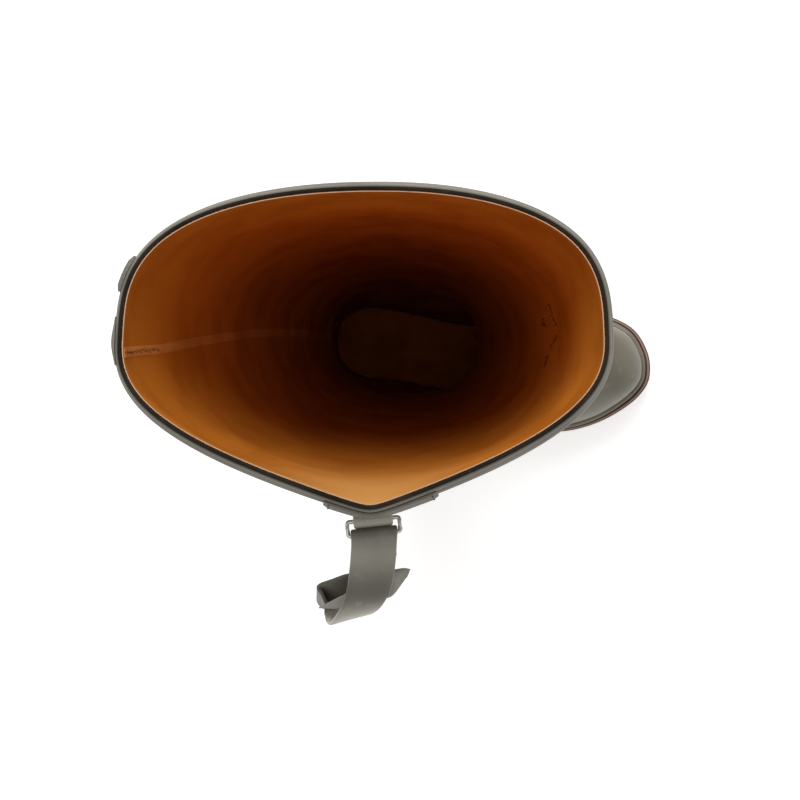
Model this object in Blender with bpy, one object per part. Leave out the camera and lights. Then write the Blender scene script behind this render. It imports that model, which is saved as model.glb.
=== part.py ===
# Hip wader, the right boot, standing empty on its sole.
# Metres, +Z up. The toe points to -Y, the big-toe side to +X and the strap side to -X.
# While shapes are worked out, a point is (ahead, inward, up): ahead of the heel's back edge,
# towards the big-toe side of the foot's middle line, and above the floor.

from math import cos, pi, radians, sin, sqrt

import bmesh
import bpy
import numpy as np
from mathutils import Vector

# Foot and sole sizes
sole_length = 0.298
ball_width = 0.113
heel_bed_height = 0.027
ball_bed_height = 0.016
toe_spring = 0.010
lug_depth = 0.0045
arch_lift = 0.009
sole_side_step = 0.0016
sole_lower_step_drop = 0.0065
welt_top_width = 0.0022
welt_groove_width = 0.0024
welt_groove_depth = 0.0022
welt_rounding = 0.0009
sole_edge_round = 0.0015
heel_block_length = 0.080
lug_edge_inset = 0.0022
lug_taper = 0.0008
lug_root = 0.0015

# Walls and layers
wall = 0.0023
clearance = 0.00035
foxing_thickness = 0.0022
foxing_height = 0.014
foxing_lip = 0.0010
insole_thickness = 0.004

# Ankle ring, the narrowest part of the shaft
ankle_height = 0.165
ankle_ahead = 0.076
ankle_inward = 0.0085
ankle_length = 0.130
ankle_width = 0.092
heel_push = 0.004

# Collar, the open top
rim_low_height = 0.740
rim_high_height = 0.800
collar_ahead = 0.0691
collar_inward = 0.0067
collar_front_reach = 0.1253
collar_back_reach = 0.1328
collar_inner_reach = 0.0822
collar_outer_reach = 0.0873
collar_twist = radians(5.4)

# Band, stay, patch and tab on the outside of the shaft
band_height = 0.022
band_thickness = 0.0026
stay_thickness = 0.0014
patch_height = 0.075
patch_thickness = 0.0018
tab_thickness = 0.0018

# Hanger strap and its ring
strap_width = 0.0250
strap_thickness = 0.0022
strap_reach = 0.050
strap_below_band = 0.014
strap_ahead = 0.0024
wire_radius = 0.0012
ring_corner = 0.0015
ring_width = 0.0305
ring_reach = 0.0076
ring_slope = 0.0018
ring_yaw = radians(11.2)
chape_width = 0.0210
chape_thickness = 0.0019
chape_stand = 0.0028
chape_lean = 0.0062
chape_tail = 0.026

ring_points = 56
quarter = ring_points // 4

# The welt is narrower along the sides than at the toe and the heel.
welt_side_share = 0.62
# How blunt the strap side's tip is at the collar, as a share of the collar's reach.
collar_tip_rounding = 0.07

# Outline of the sole, from the heel's back round by the strap side and the toe.
# Shares: ahead is of sole_length, inward is of half ball_width.
sole_outline = (
    # ahead, inward
    (0.000, 0.10),
    (0.026, -0.34),
    (0.120, -0.62),
    (0.250, -0.64),
    (0.400, -0.75),
    (0.550, -0.97),
    (0.680, -1.08),
    (0.765, -1.06),
    (0.860, -0.87),
    (0.945, -0.55),
    (0.990, -0.25),
    (1.000, 0.02),
    (0.986, 0.34),
    (0.942, 0.66),
    (0.875, 0.83),
    (0.790, 0.92),
    (0.700, 0.92),
    (0.580, 0.77),
    (0.430, 0.66),
    (0.270, 0.76),
    (0.120, 0.82),
    (0.026, 0.54),
)
# Where each quarter of the outline starts: heel, strap side, toe, big-toe side.
outline_marks = (0, 4, 11, 18)

# Rows of the foot, from the feather edge up to the ankle ring. travel goes from the
# foot's outline (0) to the ankle ring (1), rise is a share of ankle_height.
foot_rows = (
    # front travel, front rise, side travel, side rise, back rise, heel push
    (0.000, 0.000, 0.000, 0.000, 0.000, 0.00),
    (0.000, 0.052, 0.010, 0.050, 0.055, 0.40),
    (0.004, 0.110, 0.020, 0.100, 0.120, 0.75),
    (0.016, 0.180, 0.045, 0.170, 0.205, 0.95),
    (0.048, 0.245, 0.095, 0.245, 0.295, 1.00),
    (0.115, 0.305, 0.175, 0.325, 0.385, 0.88),
    (0.235, 0.360, 0.290, 0.410, 0.480, 0.60),
    (0.410, 0.420, 0.430, 0.500, 0.580, 0.25),
    (0.600, 0.495, 0.580, 0.590, 0.670, -0.05),
    (0.780, 0.590, 0.730, 0.690, 0.760, -0.20),
    (0.900, 0.705, 0.860, 0.790, 0.840, -0.24),
    (0.968, 0.840, 0.950, 0.890, 0.920, -0.14),
    (1.000, 1.000, 1.000, 1.000, 1.000, 0.00),
)

# Rows of the shaft between the ankle ring and the collar. Each column but rise is a share
# of the way from the ankle ring's own value to the collar's.
shaft_rows = (
    # rise, length, width, shift, peak
    (0.00, 0.00, 0.00, 0.00, 0.00),
    (0.09, 0.04, 0.09, 0.02, 0.00),
    (0.20, 0.15, 0.23, 0.08, 0.00),
    (0.33, 0.31, 0.40, 0.20, 0.00),
    (0.47, 0.47, 0.55, 0.40, 0.02),
    (0.61, 0.62, 0.70, 0.61, 0.10),
    (0.76, 0.79, 0.85, 0.84, 0.30),
)

# Rows below the rim, all round. Shares of patch_height and of band_height.
below_band_rows = (
    # drop past the band, reach, peak
    (1.00, 0.945, 0.60),
    (0.55, 0.975, 0.74),
    (0.20, 0.992, 0.86),
)
band_rows = (
    # drop, outward at this row, peak
    (1.00, 0.90, 0.93),
    (0.52, 1.00, 0.97),
    (0.34, 0.42, 0.99),
    (0.14, 0.62, 1.00),
    (0.00, 0.40, 1.00),
)

# Powers of the section: along, across, on the big-toe side and on the strap side.
ankle_powers = (2.2, 2.2, 2.2, 2.2)
collar_powers = (2.19, 3.07, 0.86, 2.41)

# The foxing's face from its base to its top edge, the lip near the top included.
foxing_rows = (
    # share of foxing_height, share of foxing_thickness, share of foxing_lip
    (0.00, 1.00, 0.00),
    (0.70, 1.00, 0.00),
    (0.86, 1.00, 1.00),
    (1.00, 0.60, 0.00),
)

# The strap hooks round the ring, runs out, folds under, turns back as a loop and ends in
# a point. Places are shares of strap_reach, away from the ring's outer bar. The first rows
# are the end that lies under the bar, and the hook itself is worked out from the wire.
strap_under_rows = (
    # out, back, down past the hook
    (0.260, -0.030, 0.024),
    (0.100, -0.012, 0.012),
)
strap_rows = (
    # out, back, down, width out, width back, width down, share of strap_width
    (0.086, -0.006, -0.058, 0.18, 0.98, 0.00, 0.98),
    (0.228, -0.010, -0.038, 0.17, 0.99, 0.00, 0.98),
    (0.368, -0.008, -0.002, 0.16, 0.99, 0.00, 0.98),
    (0.506, 0.000, 0.060, 0.15, 0.99, 0.00, 0.97),
    (0.644, 0.020, 0.148, 0.16, 0.99, 0.00, 0.96),
    (0.778, 0.064, 0.256, 0.20, 0.98, 0.00, 0.95),
    (0.898, 0.124, 0.384, 0.26, 0.96, -0.02, 0.95),
    (0.984, 0.192, 0.516, 0.34, 0.94, -0.06, 0.94),
    (0.988, 0.250, 0.624, 0.34, 0.92, -0.20, 0.89),
    (0.950, 0.350, 0.700, 0.17, 0.73, -0.66, 0.73),
    (0.924, 0.446, 0.720, -0.29, 0.15, -0.95, 0.80),
    (0.840, 0.534, 0.700, -0.39, -0.06, -0.92, 0.95),
    (0.760, 0.574, 0.664, -0.39, -0.02, -0.92, 0.97),
    (0.734, 0.512, 0.624, -0.49, 0.12, -0.87, 0.94),
    (0.708, 0.378, 0.560, -0.62, 0.19, -0.76, 0.94),
    (0.648, 0.214, 0.500, -0.71, 0.17, -0.69, 0.92),
    (0.598, -0.012, 0.456, -0.75, 0.09, -0.65, 0.88),
    (0.558, -0.218, 0.420, -0.76, 0.00, -0.65, 0.85),
    (0.474, -0.330, 0.362, -0.73, -0.10, -0.68, 0.58),
    (0.412, -0.400, 0.292, -0.69, -0.19, -0.69, 0.22),
)


def blend(start, end, share):
    return start + (end - start) * share


def ease(share):
    share = min(max(share, 0.0), 1.0)
    return share * share * (3.0 - 2.0 * share)


# Heights along the foot

def bed_height(ahead):
    share = ahead / sole_length
    height = blend(heel_bed_height, ball_bed_height, ease((share - 0.24) / 0.36))
    return height + toe_spring * ease((share - 0.74) / 0.36) * 1.15


def floor_gap(ahead):
    share = ahead / sole_length
    breast = heel_block_length / sole_length
    arch = ease((share - breast) / 0.03) * (1.0 - ease((share - 0.40) / 0.09))
    toe = ease((share - 0.76) / 0.34) * 1.15
    return arch_lift * arch + toe_spring * toe


# Closed curves

def smooth_closed(points, steps):
    """Catmull-Rom curve through a closed list of points."""
    rows = np.array(points, dtype=float)
    count = len(rows)
    out = []
    for i in range(count):
        before, here, there, after = (rows[(i + k) % count] for k in (-1, 0, 1, 2))
        for k in range(steps):
            t = k / steps
            out.append(0.5 * (2 * here + (there - before) * t
                              + (2 * before - 5 * here + 4 * there - after) * t * t
                              + (3 * here - before - 3 * there + after) * t ** 3))
    return np.array(out)


def spread(curve, count):
    """count points at equal distances along an open curve, its last point left out."""
    gaps = np.linalg.norm(np.diff(curve, axis=0), axis=1)
    length = np.concatenate(([0.0], np.cumsum(gaps)))
    wanted = np.linspace(0.0, length[-1], count + 1)[:-1]
    return np.stack([np.interp(wanted, length, curve[:, k]) for k in range(curve.shape[1])], axis=1)


def outline_ring(inset, further=0.0):
    """The sole's outline moved inward by inset, which is less along the sides, and then by
    further all round, as ring_points points in plan."""
    steps = 12
    rows = [(ahead * sole_length, inward * ball_width / 2) for ahead, inward in sole_outline]
    curve = smooth_closed(rows, steps)
    parts = []
    marks = [mark * steps for mark in outline_marks] + [len(curve)]
    for start, end in zip(marks[:-1], marks[1:]):
        piece = curve[np.arange(start, end + 1) % len(curve)]
        parts.append(spread(piece, quarter))
    ring = np.concatenate(parts)
    along = np.roll(ring, -1, axis=0) - np.roll(ring, 1, axis=0)
    along /= np.linalg.norm(along, axis=1)[:, None]
    # The ring runs by the strap side first, so its inside lies on this hand.
    inside = np.stack([-along[:, 1], along[:, 0]], axis=1)
    turn = np.arange(ring_points) * 2 * pi / ring_points
    share = blend(welt_side_share, 1.0, np.abs(np.cos(turn)) ** 6)
    return ring + inside * (inset * share + further)[:, None]


def section_ring(centre, reaches, powers, twist, rounding):
    """A section in plan: back, strap side, front, big-toe side. rounding blunts the tip that
    the strap side comes to."""
    front, back, inner, outer = reaches
    inner_along, inner_across, outer_along, outer_across = powers
    quarters = (
        (-back, -outer, outer_along, outer_across, rounding, False),
        (front, -outer, outer_along, outer_across, rounding, True),
        (front, inner, inner_along, inner_across, 0.0, False),
        (-back, inner, inner_along, inner_across, 0.0, True),
    )
    parts = []
    for along_reach, across_reach, along_power, across_power, blunt, flip in quarters:
        angle = np.linspace(0.0, pi / 2, 61)
        share = np.cos(angle) ** (2.0 / along_power)
        eased = (np.sqrt(share ** 2 + blunt ** 2) - blunt) / (sqrt(1.0 + blunt ** 2) - blunt)
        across = np.clip(1.0 - eased ** along_power, 0.0, 1.0) ** (1.0 / across_power)
        piece = np.stack([along_reach * share, across_reach * across], axis=1)
        if flip:
            piece = piece[::-1]
        parts.append(spread(piece, quarter))
    ring = np.concatenate(parts)
    turned = np.empty_like(ring)
    turned[:, 0] = centre[0] + ring[:, 0] * cos(twist) - ring[:, 1] * sin(twist)
    turned[:, 1] = centre[1] + ring[:, 0] * sin(twist) + ring[:, 1] * cos(twist)
    return turned


# The upper's own surface, row by row

def shaft_section(length, width, shift, peak, reach=1.0):
    centre = (blend(ankle_ahead, collar_ahead, shift), blend(ankle_inward, collar_inward, shift))
    reaches = (
        blend(ankle_length / 2, collar_front_reach * reach, length),
        blend(ankle_length / 2, collar_back_reach * reach, length),
        blend(ankle_width / 2, collar_inner_reach * reach, width),
        blend(ankle_width / 2, collar_outer_reach * reach, width),
    )
    powers = [blend(a, c, p) for a, c, p in zip(ankle_powers, collar_powers, (peak,) * 4)]
    return section_ring(centre, reaches, powers, collar_twist * shift, collar_tip_rounding * peak)


def rim_heights(ring):
    span = collar_inner_reach + collar_outer_reach
    share = (collar_inward + collar_inner_reach - ring[:, 1]) / span
    return blend(rim_low_height, rim_high_height, np.clip(share, 0.0, 1.0))


def lift(ring, heights):
    return np.column_stack([ring, heights])


def foot_rings():
    base = outline_ring(upper_inset)
    ankle = shaft_section(*shaft_rows[0][1:])
    turn = np.arange(ring_points) * 2 * pi / ring_points
    back_weight = np.clip(np.cos(turn), 0.0, 1.0) ** 2
    front_weight = np.clip(-np.cos(turn), 0.0, 1.0) ** 2
    side_weight = np.sin(turn) ** 2
    rings = []
    for front_travel, front_rise, side_travel, side_rise, back_rise, push in foot_rows:
        travel = front_travel * front_weight + side_travel * (side_weight + back_weight)
        rise = front_rise * front_weight + side_rise * side_weight + back_rise * back_weight
        plan = base + (ankle - base) * travel[:, None]
        plan[:, 0] -= push * heel_push * back_weight
        level = np.array([ease(r) for r in rise])
        bed = np.array([bed_height(ahead) for ahead in plan[:, 0]])
        up = rise * ankle_height + blend(bed, heel_bed_height, level) + clearance
        rings.append(lift(plan, up))
    return rings


def shaft_rings():
    top = shaft_section(1.0, 1.0, 1.0, 1.0)
    rim = rim_heights(top)
    floor = ankle_height + heel_bed_height + clearance
    rings = []
    for rise, length, width, shift, peak in shaft_rows[1:]:
        ring = shaft_section(length, width, shift, peak)
        rings.append(lift(ring, blend(floor, rim, rise)))
    for drop, reach, peak in below_band_rows:
        ring = shaft_section(1.0, 1.0, 1.0, peak, reach)
        rings.append(lift(ring, rim - band_height - drop * (patch_height - band_height)))
    for drop, _, peak in band_rows:
        ring = shaft_section(1.0, 1.0, 1.0, peak)
        rings.append(lift(ring, rim - drop * band_height))
    return rings


def outward_normals(rings):
    """Unit directions out of a stack of rings. They stay level at the first and last ring."""
    grid = np.array(rings)
    around = np.roll(grid, -1, axis=1) - np.roll(grid, 1, axis=1)
    upward = np.gradient(grid, axis=0)
    normals = np.cross(around, upward)
    normals[0, :, 2] = 0.0
    normals[-1, :, 2] = 0.0
    return normals / np.linalg.norm(normals, axis=2)[:, :, None]


# Meshes

def to_world(point):
    return Vector((point[1], -point[0], point[2]))


def new_object(name, mesh_data, colour, roughness, metallic):
    mesh = bpy.data.meshes.new(name)
    mesh_data.to_mesh(mesh)
    mesh_data.free()
    mesh.shade_smooth()
    mesh.set_sharp_from_angle(angle=radians(40))
    material = bpy.data.materials.new(name)
    material.use_nodes = True
    shader = material.node_tree.nodes["Principled BSDF"]
    shader.inputs["Base Color"].default_value = (*colour, 1.0)
    shader.inputs["Roughness"].default_value = roughness
    shader.inputs["Metallic"].default_value = metallic
    mesh.materials.append(material)
    thing = bpy.data.objects.new(name, mesh)
    bpy.context.scene.collection.objects.link(thing)
    return thing


def grid_faces(bm, rows, closed, flip=False):
    """Triangles between rows of vertices, each four-sided cell cut the same way."""
    for low, high in zip(rows[:-1], rows[1:]):
        count = len(low)
        for i in range(count if closed else count - 1):
            j = (i + 1) % count
            for corners in ((low[i], low[j], high[j]), (low[i], high[j], high[i])):
                bm.faces.new(corners[::-1] if flip else corners)


def shell(inner_rings, outer_rings):
    """A closed wall between two stacks of rings, open at the top and underneath."""
    bm = bmesh.new()
    outer = [[bm.verts.new(to_world(p)) for p in ring] for ring in outer_rings]
    inner = [[bm.verts.new(to_world(p)) for p in ring] for ring in inner_rings]
    grid_faces(bm, outer, True)
    grid_faces(bm, inner, True, flip=True)
    grid_faces(bm, [outer[-1], inner[-1]], True)
    grid_faces(bm, [inner[0], outer[0]], True)
    face_out(bm)
    return bm


def plate(inner_rows, outer_rows):
    """A closed plate between two open grids that have the same rows and columns."""
    bm = bmesh.new()
    outer = [[bm.verts.new(to_world(p)) for p in row] for row in outer_rows]
    inner = [[bm.verts.new(to_world(p)) for p in row] for row in inner_rows]
    grid_faces(bm, outer, False)
    grid_faces(bm, inner, False, flip=True)
    for near, far in ((inner[0], outer[0]), (outer[-1], inner[-1])):
        grid_faces(bm, [near, far], False)
    for near, far in (([row[0] for row in outer], [row[0] for row in inner]),
                      ([row[-1] for row in inner], [row[-1] for row in outer])):
        grid_faces(bm, [near, far], False)
    face_out(bm)
    return bm


def face_out(bm):
    bmesh.ops.recalc_face_normals(bm, faces=bm.faces)
    if bm.calc_volume(signed=True) < 0:
        bmesh.ops.reverse_faces(bm, faces=bm.faces)


def capped(rings):
    """A solid through closed rings, its first and last ring filled."""
    bm = bmesh.new()
    rows = [[bm.verts.new(to_world(p)) for p in ring] for ring in rings]
    grid_faces(bm, rows, True)
    for row in (rows[0], rows[-1]):
        bm.faces.new(row)
    bmesh.ops.triangulate(bm, faces=[face for face in bm.faces if len(face.verts) > 4])
    face_out(bm)
    return bm


# Pieces

upper_inset = (sole_side_step + welt_top_width + welt_groove_width + welt_rounding
               + foxing_thickness + clearance)


def build_upper(rings, normals):
    inner = [ring - normal * wall for ring, normal in zip(rings, normals)]
    return new_object("upper", shell(inner, rings), (0.155, 0.150, 0.120), 0.55, 0.0)


def build_foxing(rings, normals):
    """The rubber strip round the base of the foot, with a small lip at its top edge."""
    low, high = rings[0], rings[2]
    inner = []
    outer = []
    for rise, body, lip in foxing_rows:
        along = foxing_height * rise
        thickness = foxing_thickness * body + foxing_lip * lip
        here = low + (high - low) * (along / (high[:, 2] - low[:, 2]))[:, None]
        for rows, away in ((inner, clearance), (outer, clearance + thickness)):
            plan = (here + normals[0] * away)[:, :2]
            bed = np.array([bed_height(ahead) for ahead in plan[:, 0]])
            rows.append(lift(plan, bed + clearance * 2 + along))
    return new_object("foxing", shell(inner, outer), (0.175, 0.170, 0.140), 0.5, 0.0)


def build_insole():
    edge = outline_ring(upper_inset, wall + clearance * 2)
    bed = np.array([bed_height(ahead) for ahead in edge[:, 0]])
    middle = np.array([[blend(p[0], sole_length * 0.5, 0.06), p[1] * 0.55] for p in edge])
    middle_bed = np.array([bed_height(ahead) for ahead in middle[:, 0]])
    rings = [
        lift(middle, middle_bed + clearance * 2),
        lift(edge, bed + clearance * 2),
        lift(edge, bed + clearance * 2 + insole_thickness),
        lift(middle, middle_bed + clearance * 2 + insole_thickness),
    ]
    return new_object("insole", capped(rings), (0.30, 0.13, 0.045), 0.9, 0.0)


def build_outsole():
    """Sole body with its two-step side, welt bead and groove, and the lugs joined to it."""
    bead_inset = sole_side_step + welt_top_width
    groove_inset = bead_inset + welt_groove_width
    profile = (
        # inset, or None for the middle, height above the lug root, or None, height above the bed
        (None, 0.0, None),
        (sole_edge_round, 0.0, None),
        (0.0, sole_edge_round, None),
        (0.0, None, -sole_lower_step_drop),
        (sole_side_step, None, sole_side_step / 2 - sole_lower_step_drop),
        (sole_side_step, None, -welt_rounding),
        (sole_side_step + welt_rounding, None, 0.0),
        (bead_inset - welt_rounding / 2, None, 0.0),
        (bead_inset, None, -welt_groove_depth),
        (groove_inset, None, -welt_groove_depth),
        (groove_inset + welt_rounding / 3, None, 0.0),
        (None, None, 0.0),
    )
    rings = []
    for inset, above_root, above_bed in profile:
        if inset is None:
            edge = outline_ring(groove_inset)
            ring = np.array([[blend(p[0], sole_length * 0.5, 0.08), p[1] * 0.5] for p in edge])
        else:
            ring = outline_ring(inset)
        if above_root is None:
            up = np.array([bed_height(ahead) + above_bed for ahead in ring[:, 0]])
        else:
            up = np.array([floor_gap(ahead) + lug_depth + above_root for ahead in ring[:, 0]])
        rings.append(lift(ring, up))
    sole = new_object("outsole", capped(rings), (0.115, 0.075, 0.065), 0.6, 0.0)
    for index, corners in enumerate(lug_plan()):
        lug = new_object(f"lug_cutter_{index}", lug_block(corners), (0.1, 0.07, 0.06), 0.6, 0.0)
        lug.hide_render = True
        lug.display_type = "WIRE"
        joint = sole.modifiers.new(f"lug {index}", "BOOLEAN")
        joint.operation = "UNION"
        joint.solver = "EXACT"
        joint.object = lug
    return sole


def sole_sides(ahead, inset):
    """How far the sole's outline reaches to each side at one place along the foot."""
    ring = outline_ring(inset)
    half = len(ring) // 2
    strap_side = ring[: half + 1]
    toe_side = np.concatenate([ring[half:], ring[:1]])[::-1]
    strap = np.interp(ahead, strap_side[:, 0], strap_side[:, 1])
    inner = np.interp(ahead, toe_side[:, 0], toe_side[:, 1])
    return strap, inner


def lug_plan():
    """Corners of each lug, as shares of the width between the sole's two sides."""
    rows = (
        # start and end along the foot, lean of the bar, cuts across the width
        (0.030, 0.075, 0.00, (0.10, 0.90)),
        (0.105, 0.150, 0.00, (0.02, 0.34, 0.66, 0.98)),
        (0.180, 0.245, 0.00, (0.02, 0.47, 0.98)),
        (0.500, 0.545, 0.02, (0.03, 0.47, 0.97)),
        (0.575, 0.620, 0.02, (0.02, 0.33, 0.64, 0.98)),
        (0.650, 0.695, 0.02, (0.02, 0.49, 0.98)),
        (0.725, 0.770, 0.02, (0.02, 0.33, 0.64, 0.98)),
        (0.800, 0.845, 0.02, (0.03, 0.49, 0.97)),
        (0.875, 0.915, 0.01, (0.05, 0.49, 0.95)),
    )
    gap = 0.035
    plans = []
    for start, end, lean, cuts in rows:
        for left, right in zip(cuts[:-1], cuts[1:]):
            corners = []
            for share, side in ((start, left + gap), (start, right - gap), (end, right - gap), (end, left + gap)):
                ahead = (share + lean * (1.0 - abs(side - 0.5) * 2.0)) * sole_length
                strap, inner = sole_sides(ahead, lug_edge_inset)
                corners.append((ahead, blend(strap, inner, side)))
            plans.append(corners)
    return plans


def lug_block(corners):
    middle = np.mean(np.array(corners), axis=0)
    rings = []
    for grow, above in ((-lug_taper, 0.0), (lug_taper, lug_depth + lug_root)):
        ring = []
        for corner in corners:
            away = np.array(corner) - middle
            place = np.array(corner) + away / np.linalg.norm(away) * grow
            ring.append((place[0], place[1], floor_gap(place[0]) + above))
        rings.append(np.array(ring))
    return capped(rings)


def wrap(rings, normals, columns, rows, inner, outer):
    """Part of the wall's own grid, moved out by inner and by outer at each row."""
    picks = [column % ring_points for column in columns]
    near = [rings[row][picks] + normals[row][picks] * away for row, away in zip(rows, inner)]
    far = [rings[row][picks] + normals[row][picks] * away for row, away in zip(rows, outer)]
    return plate(near, far)


def band_reach():
    return [band_thickness * share for _, share, _ in band_rows]


def build_band(rings, normals):
    count = len(band_rows)
    inner = [ring + normal * clearance for ring, normal in zip(rings[-count:], normals[-count:])]
    outer = [ring + normal * (clearance + away)
             for ring, normal, away in zip(rings[-count:], normals[-count:], band_reach())]
    return new_object("top_band", shell(inner, outer), (0.145, 0.135, 0.115), 0.5, 0.0)


def layer_over_band(rings, first_row, thickness):
    """Offsets of a layer that lies on the wall and climbs over the band, row by row."""
    last = len(rings)
    band_start = last - len(band_rows)
    rows = list(range(first_row, last - 1))
    reach = band_reach()
    base = []
    for row in rows:
        if row < band_start:
            base.append(clearance)
        else:
            over = max(reach[row - band_start], band_thickness * 0.75)
            base.append(clearance * 2 + over)
    return rows, base, [away + thickness for away in base]


def build_stay(rings, normals):
    rows, inner, outer = layer_over_band(rings, len(foot_rows) - 1, stay_thickness)
    return new_object("back_stay", wrap(rings, normals, (-1, 0, 1), rows, inner, outer),
                      (0.150, 0.142, 0.120), 0.5, 0.0)


def patch_columns():
    return range(quarter - 2, quarter + 4)


def build_patch(rings, normals):
    first = len(rings) - len(band_rows) - len(below_band_rows)
    rows, inner, outer = layer_over_band(rings, first, patch_thickness)
    return new_object("strap_patch", wrap(rings, normals, patch_columns(), rows, inner, outer),
                      (0.140, 0.132, 0.112), 0.5, 0.0)


def build_tab(rings, normals):
    """The small keeper on the outside of the band, beside the back stay."""
    first = len(rings) - len(band_rows) - 1
    rows, inner, outer = layer_over_band(rings, first, tab_thickness)
    return new_object("rim_tab", wrap(rings, normals, (-4, -3, -2), rows, inner, outer),
                      (0.120, 0.112, 0.095), 0.6, 0.0)


# Strap parts. Their places are (out, back, down) from the ring's outer bar:
# away from the boot on the strap side, towards the heel, and towards the floor.

def strap_origin(rings):
    """Middle of the ring's outer bar, clear of the patch just below the band."""
    wall_row = rings[-1 - len(band_rows)][quarter]
    rim = rings[-1][quarter]
    patch_face = clearance * 2 + patch_thickness
    bar_reach = clearance * 3 + chape_thickness + chape_stand + wire_radius + ring_reach
    return np.array([rim[0] + strap_ahead, wall_row[1] - patch_face - bar_reach,
                     rim[2] - band_height - strap_below_band])


def strap_place(origin, out, back, down):
    return np.array([origin[0] - back, origin[1] - out, origin[2] - down])


def ring_place(origin, out, back, down):
    """The same, turned about the upright line through the outer bar's middle."""
    return strap_place(origin, out * cos(ring_yaw) + back * sin(ring_yaw),
                       back * cos(ring_yaw) - out * sin(ring_yaw), down)


def build_ring(origin):
    """Wire loop with round corners, one bar in the chape and one in the strap."""
    half_width = ring_width / 2 - wire_radius
    corner = ring_corner
    path = []
    corners = ((-corner, half_width - corner, 0), (-ring_reach + corner, half_width - corner, 90),
               (-ring_reach + corner, -half_width + corner, 180), (-corner, -half_width + corner, 270))
    for out, back, start in corners:
        for step in range(5):
            angle = radians(start + 22.5 * step)
            place_out = out + corner * cos(angle)
            path.append((place_out, back + corner * sin(angle), ring_lift(place_out)))
    bm = bmesh.new()
    sides = 8
    count = len(path)
    rows = []
    for i in range(count):
        before, here, after = (np.array(path[(i + k) % count]) for k in (-1, 0, 1))
        along = (after - before) / np.linalg.norm(after - before)
        across = np.cross(along, (0.0, 0.0, 1.0))
        across /= np.linalg.norm(across)
        other = np.cross(along, across)
        row = []
        for k in range(sides):
            turn = 2 * pi * k / sides
            place = here + wire_radius * (across * cos(turn) + other * sin(turn))
            row.append(bm.verts.new(to_world(ring_place(origin, *place))))
        rows.append(row)
    grid_faces(bm, rows + [rows[0]], True)
    face_out(bm)
    return new_object("strap_ring", bm, (0.62, 0.61, 0.59), 0.3, 1.0)


def ring_lift(out):
    return -ring_slope * out / ring_reach


def build_chape(origin):
    """Short rubber strip hooked over the ring's inner bar, with a tail down to the patch."""
    bar_out = -ring_reach
    bar_down = ring_lift(bar_out)
    hole = wire_radius + clearance
    round_radius = hole + chape_thickness
    foot = bar_out - hole - chape_lean
    inner = [(foot, bar_down + chape_tail)]
    outer = [(foot - chape_thickness, bar_down + chape_tail)]
    for step in range(9):
        angle = pi - radians(235) * step / 8
        for side, radius in ((inner, hole), (outer, round_radius)):
            side.append((bar_out + radius * cos(angle), bar_down - radius * sin(angle)))
    grids = []
    for side in (inner, outer):
        grids.append([[ring_place(origin, out, back, down) for back in (-chape_width / 2, chape_width / 2)]
                      for out, down in side])
    return new_object("chape", plate(*grids), (0.165, 0.160, 0.140), 0.5, 0.0)


def strap_route():
    """Places of the strap's middle line, the direction of its width and that width's share."""
    hook = wire_radius + clearance + strap_thickness / 2
    bar = (sin(ring_yaw), cos(ring_yaw), 0.0, 1.0)
    rows = []
    for out, back, down in strap_under_rows:
        rows.append((out * strap_reach, back * strap_reach, hook + down * strap_reach) + bar)
    for step in range(5):
        angle = radians(45 * step)
        reach = hook * sin(angle)
        rows.append((-reach * cos(ring_yaw), reach * sin(ring_yaw), hook * cos(angle)) + bar)
    for out, back, down, *width in strap_rows:
        rows.append((out * strap_reach, back * strap_reach, down * strap_reach, *width))
    return np.array(rows)


def build_strap(origin):
    rows = strap_route()
    steps = 2
    line = []
    for i in range(len(rows) - 1):
        before = rows[max(i - 1, 0)]
        here = rows[i]
        there = rows[i + 1]
        after = rows[min(i + 2, len(rows) - 1)]
        for k in range(steps):
            t = k / steps
            line.append(0.5 * (2 * here + (there - before) * t
                               + (2 * before - 5 * here + 4 * there - after) * t * t
                               + (3 * here - before - 3 * there + after) * t ** 3))
    line.append(rows[-1])
    line = np.array(line)
    middle = line[:, :3]
    along = np.gradient(middle, axis=0)
    along /= np.linalg.norm(along, axis=1)[:, None]
    bm = bmesh.new()
    sections = []
    for place, tangent, row in zip(middle, along, line):
        across = row[3:6] / np.linalg.norm(row[3:6])
        face = np.cross(tangent, across)
        face /= np.linalg.norm(face)
        half = strap_width / 2 * row[6]
        thick = strap_thickness / 2
        section = []
        for side, level in ((1, 1), (-1, 1), (-1, -1), (1, -1)):
            corner = place + across * half * side + face * thick * level
            section.append(bm.verts.new(to_world(strap_place(origin, *corner))))
        sections.append(section)
    grid_faces(bm, sections, True)
    for end in (sections[0], sections[-1]):
        bm.faces.new(end)
    bmesh.ops.triangulate(bm, faces=[face for face in bm.faces if len(face.verts) > 3])
    face_out(bm)
    return new_object("hanger_strap", bm, (0.160, 0.153, 0.132), 0.5, 0.0)


def clear_scene():
    for thing in list(bpy.data.objects):
        bpy.data.objects.remove(thing, do_unlink=True)


def centre_on_floor(things):
    """Hang every piece on one empty, so that the whole box stands centred over the origin."""
    bpy.context.view_layer.update()
    corners = [thing.matrix_world @ Vector(corner) for thing in things for corner in thing.bound_box]
    low = [min(corner[k] for corner in corners) for k in range(3)]
    high = [max(corner[k] for corner in corners) for k in range(3)]
    stand = bpy.data.objects.new("hip_wader", None)
    bpy.context.scene.collection.objects.link(stand)
    for thing in bpy.data.objects:
        if thing is not stand:
            thing.parent = stand
    stand.location = (-(low[0] + high[0]) / 2, -(low[1] + high[1]) / 2, 0.0)


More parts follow.
